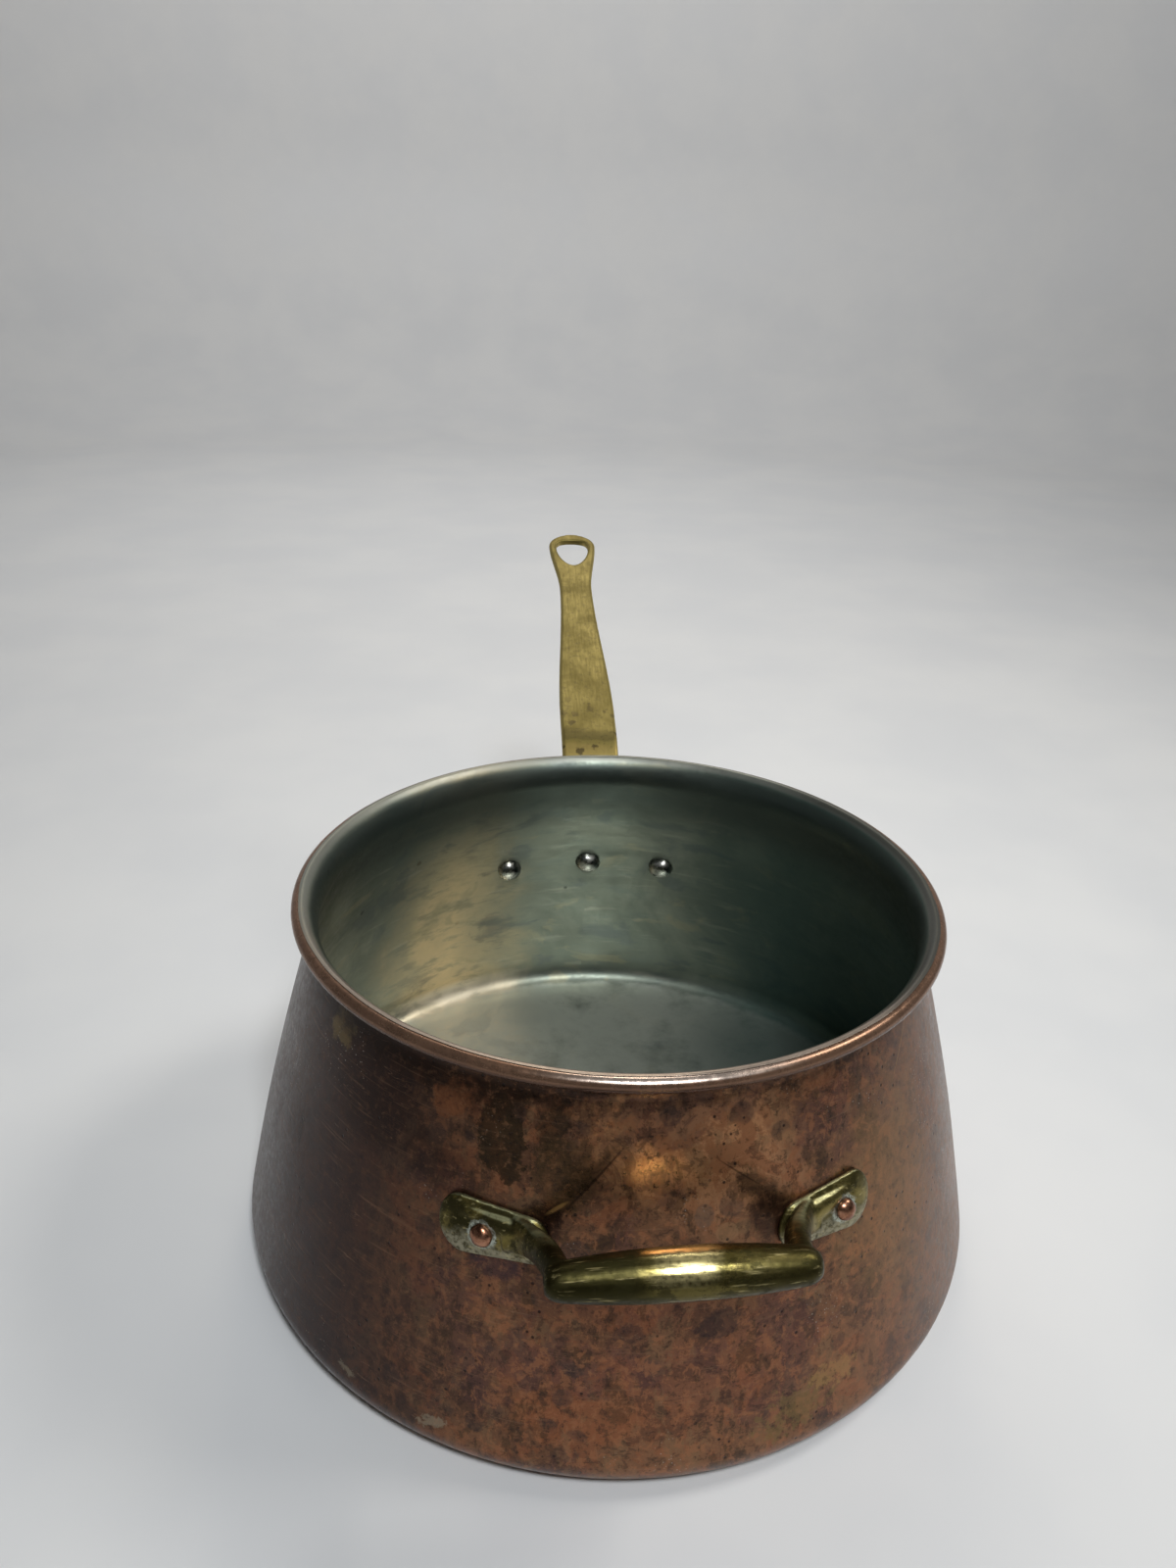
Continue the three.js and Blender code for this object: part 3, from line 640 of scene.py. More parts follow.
def copper_finish():
    """Brown patinated copper: mottled, stained, pitted and finely scratched."""
    made = Finish("patinated_copper", 0.78)
    x, y, height = made.split(made.place)
    side = x / made.from_axis()
    _, on_wall = made.unrolled()
    upward = made.split(made.facing)[2]
    wide = made.noise(22, detail=4, roughness=0.6, distortion=0.6)
    blotch = made.noise(75, detail=6, roughness=0.68, distortion=0.7)
    drawn = made.noise(120, size=(1, 1, 0.45), shift=(2, 5, 1), detail=5, roughness=0.66)
    purple = made.noise(34, shift=(7, 7, 3), detail=5, roughness=0.65)
    small = made.noise(260, shift=(1, 4, 2), detail=5, roughness=0.7, distortion=0.5)
    fine = made.noise(480, detail=5, roughness=0.7)
    grain = made.noise(1500, detail=2, roughness=0.6)
    ragged = made.noise(190, detail=6, roughness=0.7) - 0.5

    made.colour = made.mix(wide.step(0.35, 0.66), (0.14, 0.066, 0.036), (0.235, 0.112, 0.056))
    stain(made, on_wall, ragged, PAINTED_SHEEN_AND_RED_PATCHES)
    mottles = [
        (blotch, 0.53, 0.57, 0.55, (0.28, 0.1, 0.044)),
        (blotch, 0.45, 0.41, 0.50, (0.06, 0.03, 0.022)),
        (drawn, 0.55, 0.59, 0.40, (0.23, 0.138, 0.07)),
        (purple, 0.54, 0.62, 0.50, (0.1, 0.046, 0.044)),
        (drawn, 0.44, 0.40, 0.50, (0.044, 0.028, 0.014)),
        (small, 0.54, 0.58, 0.55, (0.34, 0.14, 0.064)),
        (small, 0.44, 0.40, 0.50, (0.04, 0.024, 0.018)),
    ]
    for noise, low, high, share, tint in mottles:
        made.lay(tint, noise.step(low, high, 0, share))
    scattered = made.noise(40, shift=(5, 5, 0), detail=2).step(0.5, 0.56, 0, 0.5)
    rounds = (made.cells(95, shift=(6, 2, 4)) + ragged * 0.25).step(0.34, 0.28)
    made.lay((0.046, 0.034, 0.032), rounds * scattered)

    # The body is painted darker on its left, as shade, and is duller on its right than in front
    left = side.step(-0.28, -0.76)
    made.lay((0.026, 0.015, 0.014), left * 0.9)
    made.lay((0.14, 0.082, 0.056), side.step(0.43, 0.82) * 0.5)
    stain(made, on_wall, ragged, STAINS_AND_CONTACT_SHADE)
    # A painted shadow under the rim, narrower in front
    front = side.step(-0.4, -0.1) * y.step(0, -50 * MM)
    neck = height + ragged * (20 * MM) - front * (6 * MM)
    under_rim_shadow = neck.step(98 * MM, 107 * MM) * height.step(115 * MM, 112 * MM)
    made.lay((0.018, 0.007, 0.003), under_rim_shadow * 0.88)

    # Fine grain, the marks of spinning, pits, pale specks, scratches and a rubbed foot. The pale grain is
    # fainter in the painted shade on the left
    made.lay((0.34, 0.16, 0.078), fine.step(0.53, 0.66, 0, 0.4) * (1.0 - left * 0.75))
    made.lay((0.022, 0.014, 0.011), fine.step(0.46, 0.34, 0, 0.5))
    spun = made.noise(1100, size=(0.05, 0.05, 1), detail=2)
    made.lay((0.3, 0.165, 0.095), spun.step(0.6, 0.75, 0, 0.22))
    pit = made.cells(300).step(0.17, 0.09) * made.noise(45, detail=2).step(0.5, 0.6)
    made.lay((0.012, 0.008, 0.007), pit * 0.85)
    rare = made.noise(30, shift=(3, 1, 2), detail=3).step(0.58, 0.66)
    made.lay((0.42, 0.36, 0.3), made.cells(900).step(0.2, 0.1) * rare * 0.8)
    crossed = made.noise(40, turn=(0.5, 0.7, 0), size=(1, 1, 14), detail=1, roughness=0.4)
    made.lay((0.34, 0.19, 0.11), abs(crossed - 0.5).step(0, 0.003, 1, 0) * 0.35)
    stain(made, on_wall, ragged, SCRATCHES)
    made.lay((0.3, 0.18, 0.11), height.step(4.5 * MM, 1.5 * MM) * 0.6)

    # The bead is worn bare, with a painted highlight along its top in front and painted shade on its
    # underside
    bead = height.step(113 * MM, 115 * MM)
    made.lay((0.29, 0.168, 0.108), bead * blotch.step(0.35, 0.65, 0.7, 0.95))
    ahead = abs(side).step(0.42, 0.12) * front
    made.lay((0.72, 0.6, 0.52), bead * ahead * upward.step(0.56, 0.74) * 0.8)
    made.lay((0.08, 0.042, 0.028), bead * upward.step(0.35, -0.15) * 0.85)
    rough = wide.step(0.3, 0.7, 0.28, 0.37) + fine.step(0.3, 0.7, -0.05, 0.09) - bead * 0.07
    relief = (fine * 0.5 + grain * 0.1 - pit) * (1.0 - bead * 0.7)
    return made.finish(rough, relief, 0.06 * MM)


def tin_finish():
    """Wiped tin, dulled grey-green by use."""
    made = Finish("worn_tin", 0.75)
    x, y, height = made.split(made.place)
    azimuth, on_wall = made.unrolled()
    upward = made.split(made.facing)[2]
    outer = made.from_axis().step(40 * MM, 95 * MM)
    cloud = made.noise(20, detail=4, roughness=0.6, distortion=0.8)
    smear = made.noise(50, size=(1, 1, 3.2), detail=5, roughness=0.65)
    streak = made.noise(160, on_wall, size=(0.25, 1.6, 1), detail=4)
    smudge = made.noise(38, shift=(4, 8, 2), size=(1, 1, 1.8), detail=4, distortion=0.6)
    fine = made.noise(600, detail=3)

    made.colour = made.mix(cloud.step(0.35, 0.7), (0.13, 0.15, 0.122), (0.222, 0.24, 0.192))
    made.lay((0.11, 0.135, 0.12), smear.step(0.5, 0.3, 0, 0.5))
    made.lay((0.36, 0.36, 0.29), streak.step(0.55, 0.75, 0, 0.35))
    made.lay((0.03, 0.035, 0.03), made.cells(60).step(0.085, 0.045) * 0.75)

    # A painted warm reflection on the back wall left of the handle, and its painted highlight where the wall
    # meets the floor
    round_back = abs(azimuth + 150 * DEGREE)
    warm = (round_back + cloud * 0.5).step(0.62, 0.18) * outer
    warm = warm * (height + smear * (50 * MM)).step(118 * MM, 85 * MM, 0.35, 1)
    warm = warm * smear.step(0.36, 0.52, 0.55, 1)
    made.lay((0.96, 0.74, 0.42), warm * 0.75)
    made.lay((0.98, 0.88, 0.68), height.step(11 * MM, 7 * MM) * warm * 0.85)
    made.lay((0.085, 0.105, 0.112), smudge.step(0.56, 0.66, 0, 0.45))
    made.lay((0.3, 0.275, 0.175), smudge.step(0.42, 0.34, 0, 0.4))
    # Painted light on the floor of the pan
    made.lay((0.7, 0.72, 0.63), (height + smear * (3 * MM)).step(4.5 * MM, 3 * MM, 0, 0.8))
    # Painted shade on the right of the inside wall
    shade = azimuth.step(0.5, 1.6) * azimuth.step(2.9, 2.3) * outer
    made.lay((0.04, 0.092, 0.084), shade * 0.7)
    collar = height.step(82 * MM, 103 * MM) * height.step(117.2 * MM, 115 * MM)
    made.lay((0.052, 0.066, 0.058), collar * 0.85)

    # On the rim the tin is pale and worn through to the copper in front, with painted shade on its right
    on_rim = height.step(116 * MM, 117.5 * MM)
    made.lay((0.33, 0.33, 0.29), on_rim * 0.6)
    worn = on_rim * y.step(0, -70 * MM)
    made.lay((0.38, 0.3, 0.245), worn * 0.85)
    made.lay((0.16, 0.094, 0.06), worn * upward.step(0.58, 0.34) * 0.9)
    made.lay((0.09, 0.092, 0.08), on_rim * x.step(50 * MM, 85 * MM) * 0.95)
    rough = smear.step(0.3, 0.7, 0.36, 0.48) + fine.step(0.3, 0.7, -0.03, 0.03) - worn * 0.08
    return made.finish(rough, smear + fine * 0.15, 0.06 * MM)


def strap_finish():
    """Flat brass, brushed lengthwise, an even olive-gold that is spotted near its root."""
    made = Finish("old_brass_strap", 0.75)
    _, y, height = made.split(made.place)
    cloud = made.noise(60, detail=4, roughness=0.6, distortion=0.4)
    brush = made.noise(1300, size=(1, 0.08, 0.2), detail=3)
    fine = made.noise(600, detail=3)
    made.colour = made.mix(cloud.step(0.35, 0.7), (0.16, 0.125, 0.03), (0.228, 0.183, 0.052))
    made.lay((0.11, 0.085, 0.028), fine.step(0.48, 0.3, 0, 0.5))
    near_root = y.step(150 * MM, 108 * MM) * height.step(105 * MM, 116 * MM, 0.15, 1)
    uneven = y + (cloud - 0.5) * (10 * MM)
    band = uneven.step(112 * MM, 113.5 * MM) * uneven.step(119 * MM, 116 * MM)
    made.lay((0.085, 0.066, 0.02), band * 0.55)
    # Nearer the rim, a painted highlight on the bend
    made.lay((0.34, 0.25, 0.08), uneven.step(112 * MM, 109.5 * MM) * near_root * 0.5)
    # Painted highlights along the strap's side edges
    made.lay((0.56, 0.44, 0.15), abs(made.split(made.facing)[0]).step(0.25, 0.75) * 0.6)
    spots = (made.cells(150) + (fine - 0.5) * 0.5).step(0.3, 0.18)
    made.lay((0.07, 0.05, 0.018), spots * near_root * 0.85)
    rough = cloud.step(0.3, 0.7, 0.54, 0.46) + brush.step(0.3, 0.7, -0.05, 0.05)
    return made.finish(rough, brush, 0.02 * MM)


def helper_finish():
    """Cast brass gone olive and black in its hollows, bright where it is held."""
    made = Finish("old_brass_helper", 0.95)
    x, _, height = made.split(made.place)
    upward = made.split(made.facing)[2]
    grip = made.from_axis().step(110 * MM, 118 * MM)
    on_pads = 1.0 - grip
    cloud = made.noise(90, detail=5, roughness=0.65, distortion=0.5)
    brush = made.noise(1200, size=(0.07, 1, 1), detail=3)
    fine = made.noise(800, detail=4, roughness=0.65)
    hammered = made.noise(170, size=(0.8, 1, 1), detail=2)
    ragged_x = x + (cloud - 0.5) * (12 * MM)

    polished = abs(ragged_x - 4 * MM).step(8.5 * MM, 3.5 * MM) * grip * upward.step(0.2, 0.5)
    held = made.mix(cloud.step(0.38, 0.66), (0.125, 0.102, 0.028), (0.34, 0.275, 0.095))
    held = made.mix(polished * 0.85, held, (0.85, 0.72, 0.34))
    dark = made.mix(cloud.step(0.44, 0.66), (0.05, 0.042, 0.015), (0.21, 0.165, 0.048))
    dark = made.mix(x.step(20 * MM, 40 * MM, 0, 0.55), dark, held)
    made.colour = made.mix(grip, dark, held)

    # The grip has painted shade down its front, darkens towards its ends, and has a pale painted reflection
    # underneath
    shaded = upward + (fine - 0.5) * 0.5
    made.lay((0.07, 0.056, 0.016), shaded.step(0.66, 0.34) * grip * 0.8)
    right_end = ragged_x.step(12 * MM, 26 * MM, 0, 0.7)
    ends = made.math("MAXIMUM", ragged_x.step(0, -8 * MM), right_end)
    made.lay((0.026, 0.023, 0.007), ends * grip * 0.94)
    patina = made.noise(210, size=(0.6, 1, 1), shift=(3, 0, 5), detail=5, roughness=0.7)
    patina = patina.step(0.5, 0.43) * (1.0 - polished)
    made.lay((0.036, 0.032, 0.01), patina * 0.75)
    made.lay((0.4, 0.38, 0.3), upward.step(-0.66, -0.8) * grip * 0.6)

    # The pads are chalky below, have painted highlights on their upward faces and ribs, and are ringed with
    # dried polish round the rivets
    chalky = (height + (cloud - 0.5) * (10 * MM)).step(71.5 * MM, 67.5 * MM)
    made.lay((0.4, 0.37, 0.26), chalky * on_pads * fine.step(0.35, 0.6, 0.25, 0.75))
    made.lay((0.42, 0.42, 0.24), upward.step(0.72, 0.92) * on_pads * 0.6)
    made.lay((0.04, 0.034, 0.014), fine.step(0.48, 0.3, 0, 0.55))
    made.lay((0.72, 0.6, 0.28), brush.step(0.58, 0.75, 0, 0.4))
    for _, across, up in HELPER_RIVETS:
        head = HELPER_TURNED @ Vector(wall_points(across, up, -1, PAD_THICKNESS)[0][0])
        off = made.distance(made.place, tuple(head)) + (fine - 0.5) * (4.2 * MM)
        ring = off.step(4.3 * MM, 3.8 * MM) * fine.step(0.42, 0.56, 0.25, 0.95)
        made.lay((0.56, 0.6, 0.52), ring)
    rough = cloud.step(0.3, 0.7, 0.3, 0.17) + brush.step(0.3, 0.7, -0.04, 0.05)
    rough = rough + ends * 0.2 + patina * 0.18
    return made.finish(rough, brush + fine + hammered * 10.0, 0.03 * MM)


def rivet_finish(name, dark, light):
    """Hammered heads of a rivet."""
    made = Finish(name, 1.0)
    cloud = made.noise(380, detail=3)
    made.colour = made.mix(cloud.step(0.35, 0.65), dark, light)
    return made.finish(cloud.step(0.3, 0.7, 0.22, 0.34), cloud, 0.08 * MM)


def floor_finish():
    """A pale painted table top."""
    made = Finish("pale_floor", 0.0)
    cloud = made.noise(9, detail=3)
    made.colour = made.mix(cloud.step(0.3, 0.7), (0.74, 0.75, 0.765), (0.78, 0.785, 0.79))
    return made.finish(cloud.step(0.3, 0.7, 0.5, 0.6), made.noise(300), 0.02 * MM)


COPPER = copper_finish()
TIN = tin_finish()
STRAP_BRASS = strap_finish()
HELPER_BRASS = helper_finish()
RIVET_TIN = rivet_finish("tinned_rivet", (0.30, 0.31, 0.28), (0.58, 0.57, 0.52))
RIVET_COPPER = rivet_finish("rivet_copper", (0.20, 0.085, 0.048), (0.44, 0.22, 0.135))


def shell_face(inset, bead_end):
    """One face of the shell, at a depth under the copper's outer face, from the axis to the bead."""
    across = np.linspace(0, CORNER_CENTRE[0], BASE_STEPS, endpoint=False)
    wall, way = bezier(WALL_CURVE, np.linspace(0, 1, WALL_STEPS, endpoint=False)[:, None])
    flare_radius = FLARE_RADIUS - COPPER_THICKNESS + inset
    bead_radius = BEAD_RADIUS - COPPER_THICKNESS + inset
    return np.concatenate([
        np.stack([across, np.full(BASE_STEPS, inset)], axis=-1),
        arc(CORNER_CENTRE, CORNER_RADIUS - inset, -math.pi / 2, FOOT_LEAN, CORNER_STEPS)[:-1],
        wall - inset * np.stack([way[:, 1], -way[:, 0]], axis=-1),
        arc(FLARE_CENTRE, flare_radius, math.pi + NECK_LEAN, FLARE_END, FLARE_STEPS)[:-1],
        arc(BEAD_CENTRE, bead_radius, FLARE_END, bead_end, BEAD_STEPS),
    ])


def hand_worked(vertices):
    """Moves points of the sheet as hammering and long use leave it: in shallow waves."""
    angle = np.arctan2(vertices[:, 1], vertices[:, 0])
    height = vertices[:, 2] / PAN_HEIGHT
    wave = sum(size * np.sin(count * angle + rise * height + shift) for count, rise, size, shift in WAVES)
    reach = smoothstep(height, 0.06, 0.3) * smoothstep(height, 0.97, 0.8)
    radius = np.hypot(vertices[:, 0], vertices[:, 1])
    swell = 1 + WAVE_REACH * wave * reach / np.maximum(radius, MM)
    moved = vertices.copy()
    moved[:, :2] *= swell[:, None]
    moved[:, 2] += BASE_HOLLOW * smoothstep(radius, 105 * MM, 0) * (vertices[:, 2] < 3 * MM)
    return moved


def hole_cutters(rivet, rivets, side, turn):
    """A cylinder through the wall for each rivet."""
    cutters = []
    radius = rivet["shank"] + HOLE_CLEARANCE
    for _, across, height in rivets:
        skin = loft([polar_ring(radius, depth) for depth in (-HOLE_REACH, HOLE_REACH)])
        cutter = add_object("cutter", *skin)
        cutter.matrix_world = rivet_place(across, height, side, turn)
        cutters.append(cutter)
    bpy.context.view_layer.update()
    return cutters


def rivet_place(across, height, side, turn):
    """Where a rivet sits: its origin is on the copper's outer face and its +Z points out."""
    point, normal = wall_points(across, height, side, 0)
    upright = Vector(normal[0]).to_track_quat("Z", "Y").to_matrix().to_4x4()
    return Matrix.Rotation(turn, 4, "Z") @ Matrix.Translation(Vector(point[0])) @ upright


def wall_cutters():
    """Cutters for all five rivets."""
    return (hole_cutters(LONG_RIVET, LONG_RIVETS, 1, 0)
            + hole_cutters(HELPER_RIVET, HELPER_RIVETS, -1, HELPER_TURN))


def copper_shell():
    """The spun body: one sheet from the base to the curl under the rim."""
    outer = shell_face(0, CURL_END)
    inner = shell_face(COPPER_THICKNESS, CURL_END)[::-1]
    vertices, faces = turned(np.concatenate([outer, inner]), BODY_SEGMENTS)
    shell = drilled(add_object("copper_shell", hand_worked(vertices), faces), wall_cutters())
    shell.data.materials.append(COPPER)
    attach(shell, "root")
    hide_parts("copper_body")


def tin_skin():
    """The wiped tin: it thins out towards its uneven edge on top of the rim."""
    angles = circle(BODY_SEGMENTS)
    wander = sum(size * np.sin(count * angles + shift) for count, size, shift in TIN_END_WAVES)
    wander = wander / sum(size for _, size, _ in TIN_END_WAVES)
    profiles = []
    for end in TIN_END + TIN_END_WANDER * wander:
        under = shell_face(COPPER_THICKNESS + TIN_GAP, end)
        face = shell_face(COPPER_THICKNESS + TIN_GAP + TIN_THICKNESS, end)
        bead_angle = np.arctan2(face[:, 1] - BEAD_CENTRE[1], face[:, 0] - BEAD_CENTRE[0])
        on_bead = face[:, 1] > BEAD_CENTRE[1]
        thinning = np.where(on_bead, smoothstep(bead_angle, end, end + TIN_FEATHER), 1.0)
        face = lerp(under, face, lerp(TIN_EDGE_SHARE, 1, thinning)[:, None])
        profiles.append(np.concatenate([under, face[::-1]]))
    vertices, faces = turned(np.array(profiles), BODY_SEGMENTS)
    skin = drilled(add_object("tin_skin", hand_worked(vertices), faces), wall_cutters())
    skin.data.materials.append(TIN)
    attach(skin, "root")
    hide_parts("tin_lining")


# The strap's upper face in the plane of the handle: straight, then a bend down to the flange
TIP_POINT = np.array([RIM_RADIUS + TIP_BEYOND_RIM, PAN_HEIGHT + TIP_ABOVE_RIM])
STRAP_WAY = np.array([math.cos(HANDLE_SLOPE), math.sin(HANDLE_SLOPE)])
PEEL_HEIGHT = RIVET_HEIGHT + FLANGE_RISE
PEEL_POINT, PEEL_WAY = (found[0] for found in wall_at(PEEL_HEIGHT, SEAT_GAP))
BEND_CORNER = corner_of(PEEL_POINT, PEEL_WAY, TIP_POINT, STRAP_WAY)
BEND_START = BEND_CORNER + STRAP_WAY * BEND_REACH
BEND_CURVE = (BEND_START, BEND_CORNER, PEEL_POINT)
STRAIGHT_LENGTH = float(np.linalg.norm(TIP_POINT - BEND_START))


def strap_half_width(from_tip):
    """Half the strap's width: a round end, an eye that narrows to a neck, and a wide root."""
    roundness = round_end(from_tip, EYE_ROUNDING)
    if from_tip < NECK_FROM_TIP:
        width = lerp(EYE_WIDTH, STRAP_NECK_WIDTH, smoothstep(from_tip, EYE_TAPER_START, NECK_FROM_TIP))
    else:
        width = lerp(STRAP_NECK_WIDTH, STRAP_ROOT_WIDTH, smoothstep(from_tip, NECK_FROM_TIP, TAPER_START))
    return roundness * width / 2


def strap_ring(point, way, from_tip):
    """A section of the strap: a flat bar with rounded edges."""
    half = strap_half_width(from_tip)
    towards_root = smoothstep(from_tip, NECK_FROM_TIP, TAPER_START)
    thickness = lerp(STRAP_TIP_THICKNESS, STRAP_ROOT_THICKNESS, towards_root)
    edge = min(STRAP_EDGE, half / 2, thickness / 3)
    under = np.array([way[1], -way[0]])
    ring = []
    for side, first in ((1, 0), (1, 90), (-1, 180), (-1, 270)):
        low = first in (90, 180)
        centre = (side * (half - edge), thickness - edge if low else edge)
        for angle in np.radians(first - 90 + np.linspace(0, 90, 5)):
            ring.append((centre[0] + edge * math.cos(angle), centre[1] + edge * math.sin(angle)))
    return np.array([(across, *(point + under * depth)) for across, depth in ring])


def strap_skin():
    """The strap from its tip down to just above the centre rivet."""
    share = np.linspace(0.03, 1, 12)
    from_tips = np.concatenate([
        EYE_ROUNDING * (1 - np.cos(math.pi / 2 * share)),
        np.linspace(EYE_ROUNDING, STRAIGHT_LENGTH, 60)[1:],
    ])
    rings = [strap_ring(TIP_POINT - STRAP_WAY * from_tip, STRAP_WAY, from_tip) for from_tip in from_tips]
    root = max(STRAIGHT_LENGTH, TAPER_START)
    for share in np.linspace(0, 1, 21)[1:]:
        point, way = bezier(BEND_CURVE, share)
        rings.append(strap_ring(point, -way, root))
    foot = RIVET_HEIGHT + LONG_RIVET["outer_head"] + STRAP_FOOT_CLEARANCE
    for height in np.linspace(PEEL_HEIGHT, foot, 8)[1:]:
        point, way = (found[0] for found in wall_at(height, SEAT_GAP))
        rings.append(strap_ring(point, way, root))
    return loft(rings)


def curve(corners, steps):
    """Points of the curve that its corner points pull along, without its last."""
    share = np.linspace(0, 1, steps + 1)[:-1, None]
    rows = [np.array(corner) for corner in corners]
    while len(rows) > 1:
        rows = [lerp(first, second, share) for first, second in zip(rows, rows[1:])]
    return rows[0]


def eye_cutter():
    """The eye's opening, blunt towards the tip and pointed towards the pan, wider at both faces."""
    half = EYE_HOLE_WIDTH / 2
    outer = -EYE_HOLE_FROM_TIP
    inner = outer - EYE_HOLE_LENGTH
    widest = outer - EYE_HOLE_WIDEST
    quarter = [
        [(0, inner), (EYE_HOLE_POINT_REACH, inner), (half, widest - EYE_HOLE_SIDE_REACH), (half, widest)],
        [(half, widest), (half, widest + EYE_HOLE_CORNER_REACH), (EYE_HOLE_BLUNT_REACH, outer), (0, outer)],
    ]
    right = np.concatenate([curve(points, 16) for points in quarter])
    left = [[(-x, y) for x, y in points[::-1]] for points in quarter[::-1]]
    outline = np.concatenate([right, *(curve(points, 16) for points in left)])
    ways = unit(np.roll(outline, -1, axis=0) - np.roll(outline, 1, axis=0))
    normals = np.stack([ways[:, 1], -ways[:, 0]], axis=-1)
    rings = []
    under = np.array([STRAP_WAY[1], -STRAP_WAY[0]])
    edge = EYE_HOLE_EDGE
    thickness = STRAP_TIP_THICKNESS
    rounded = edge * np.linspace(0, 1, 5)
    depths = [-CUT_BEYOND, *rounded, *(thickness - rounded[::-1]), thickness + CUT_BEYOND]
    for depth in depths:
        within = max(0, min(depth, thickness - depth))
        flare = edge * (1 - round_end(within, edge))
        at = outline + normals * flare
        profile = TIP_POINT + at[:, 1:] * STRAP_WAY + depth * under
        rings.append(np.concatenate([at[:, :1], profile], axis=1))
    return add_object("cutter", *loft(rings))


def flange_outline():
    """Front view of the flange: a bar with round ends that narrows up into the strap."""
    end = FLANGE_END_RADIUS
    end_height = RIVET_HEIGHT - RIVET_SAG
    low = RIVET_HEIGHT - FLANGE_DROP
    root = STRAP_ROOT_WIDTH / 2
    left, right = -RIVET_SPACING_LEFT, RIVET_SPACING_RIGHT
    return np.concatenate([
        curve([(0, low), (right / 2, low), (right, end_height - end)], 12),
        arc((right, end_height), end, -math.pi / 2, math.pi / 2, 16)[:-1],
        curve([(right, end_height + end), (root, end_height + end), (root, PEEL_HEIGHT)], 14),
        np.linspace((root, PEEL_HEIGHT), (-root, PEEL_HEIGHT), 11)[:-1],
        curve([(-root, PEEL_HEIGHT), (-root, end_height + end), (left, end_height + end)], 14),
        arc((left, end_height), end, math.pi / 2, 3 * math.pi / 2, 16)[:-1],
        curve([(left, end_height - end), (left / 2, low), (0, low)], 12),
    ])


def plate_skin(outline, middles, side, edge, crown, roundness):
    """A plate that lies on the wall, thickest over the middles of its outline's points."""
    rings = []
    for share in (0.0, 0.35, 0.7, 1.0):
        at = middles + (outline - middles) * share
        rings.append(wall_points(at[:, 0], at[:, 1], side, SEAT_GAP)[0])
    for share in (1.0, 0.985, 0.95, 0.88, 0.75, 0.55, 0.3, 0.0):
        at = middles + (outline - middles) * share
        thickness = edge + (crown - edge) * (1 - share ** roundness) ** 0.7
        rings.append(wall_points(at[:, 0], at[:, 1], side, SEAT_GAP + thickness)[0])
    return loft(rings)


def keep_off_wall(piece, gap):
    """Pushes points of a casting that reach under its seat back out to it."""
    co = np.array([vertex.co for vertex in piece.data.vertices])
    radius = np.hypot(co[:, 0], co[:, 1])
    height = np.clip(co[:, 2], WALL_FOOT[1], WALL_NECK[1])
    wall = wall_at(height, gap)[0][:, 0]
    near = (co[:, 2] < WALL_NECK[1]) & (radius < wall)
    co[near, :2] *= (wall[near] / radius[near])[:, None]
    piece.data.vertices.foreach_set("co", co.astype(np.float32).ravel())
    piece.data.update()


def long_handle():
    """The long handle: strap, eye and flange in one casting."""
    outline = flange_outline()
    middles = np.repeat([[0, RIVET_HEIGHT]], len(outline), axis=0)
    plate = plate_skin(outline, middles, 1, FLANGE_EDGE_THICKNESS, FLANGE_THICKNESS, 12)
    strap = drilled(add_object("strap", *strap_skin()), [eye_cutter()])
    points = np.array([vertex.co for vertex in strap.data.vertices])
    faces = [polygon.vertices[:] for polygon in strap.data.polygons]
    bpy.data.objects.remove(strap)
    handle = fused(joined("strap_handle", [plate, (points, faces)]), STRAP_VOXEL, 5)
    keep_off_wall(handle, SEAT_GAP)
    drilled(handle, hole_cutters(LONG_RIVET, LONG_RIVETS, 1, 0))
    handle.data.materials.append(STRAP_BRASS)
    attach(handle, "root")
    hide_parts("long_handle")


# Helper handle: where its arms meet the grip and its pads, and the grip's section
ARM_SPACING = GRIP_LENGTH - 2 * ARM_INSET
PAD_END = ARM_SPACING / 2 + PAD_TAPER_RADIUS
ARM_ROOT = HELPER_RIVET_REACH - HELPER_RIVET_SHIFT - HELPER_RIVET["outer_head"] - ARM_ROOT_CLEARANCE
GRIP_OUT = np.array([0, -math.cos(GRIP_TILT), math.sin(GRIP_TILT)])
GRIP_UP = np.array([0, math.sin(GRIP_TILT), math.cos(GRIP_TILT)])
GRIP_CENTRE = wall_points(0, HELPER_RIVET_HEIGHT, -1, 0)[0][0] + GRIP_OUT * GRIP_REACH


def pad_skin(side):
    """One pad: a drop, round at the rivet, that runs to its arm."""
    far = np.array([PAD_SPAN / 2 - PAD_RADIUS, HELPER_RIVET_HEIGHT])
    near = np.array([PAD_END, HELPER_RIVET_HEIGHT])
    outline = np.concatenate([
        arc(far, PAD_RADIUS, -math.pi / 2, math.pi / 2, 20),
        arc(near, PAD_TAPER_RADIUS, math.pi / 2, 3 * math.pi / 2, 20),
    ])
    above = outline[:, 1] - HELPER_RIVET_HEIGHT
    outline[:, 1] += above * (np.where(above > 0, PAD_UPPER_GROWTH, PAD_LOWER_GROWTH) - 1)
    middles = np.full(outline.shape, HELPER_RIVET_HEIGHT)
    middles[:, 0] = np.clip(outline[:, 0], near[0], far[0])
    mirror = np.array([side, 1])
    return plate_skin(outline * mirror, middles * mirror, -1, PAD_EDGE, PAD_THICKNESS, 2)


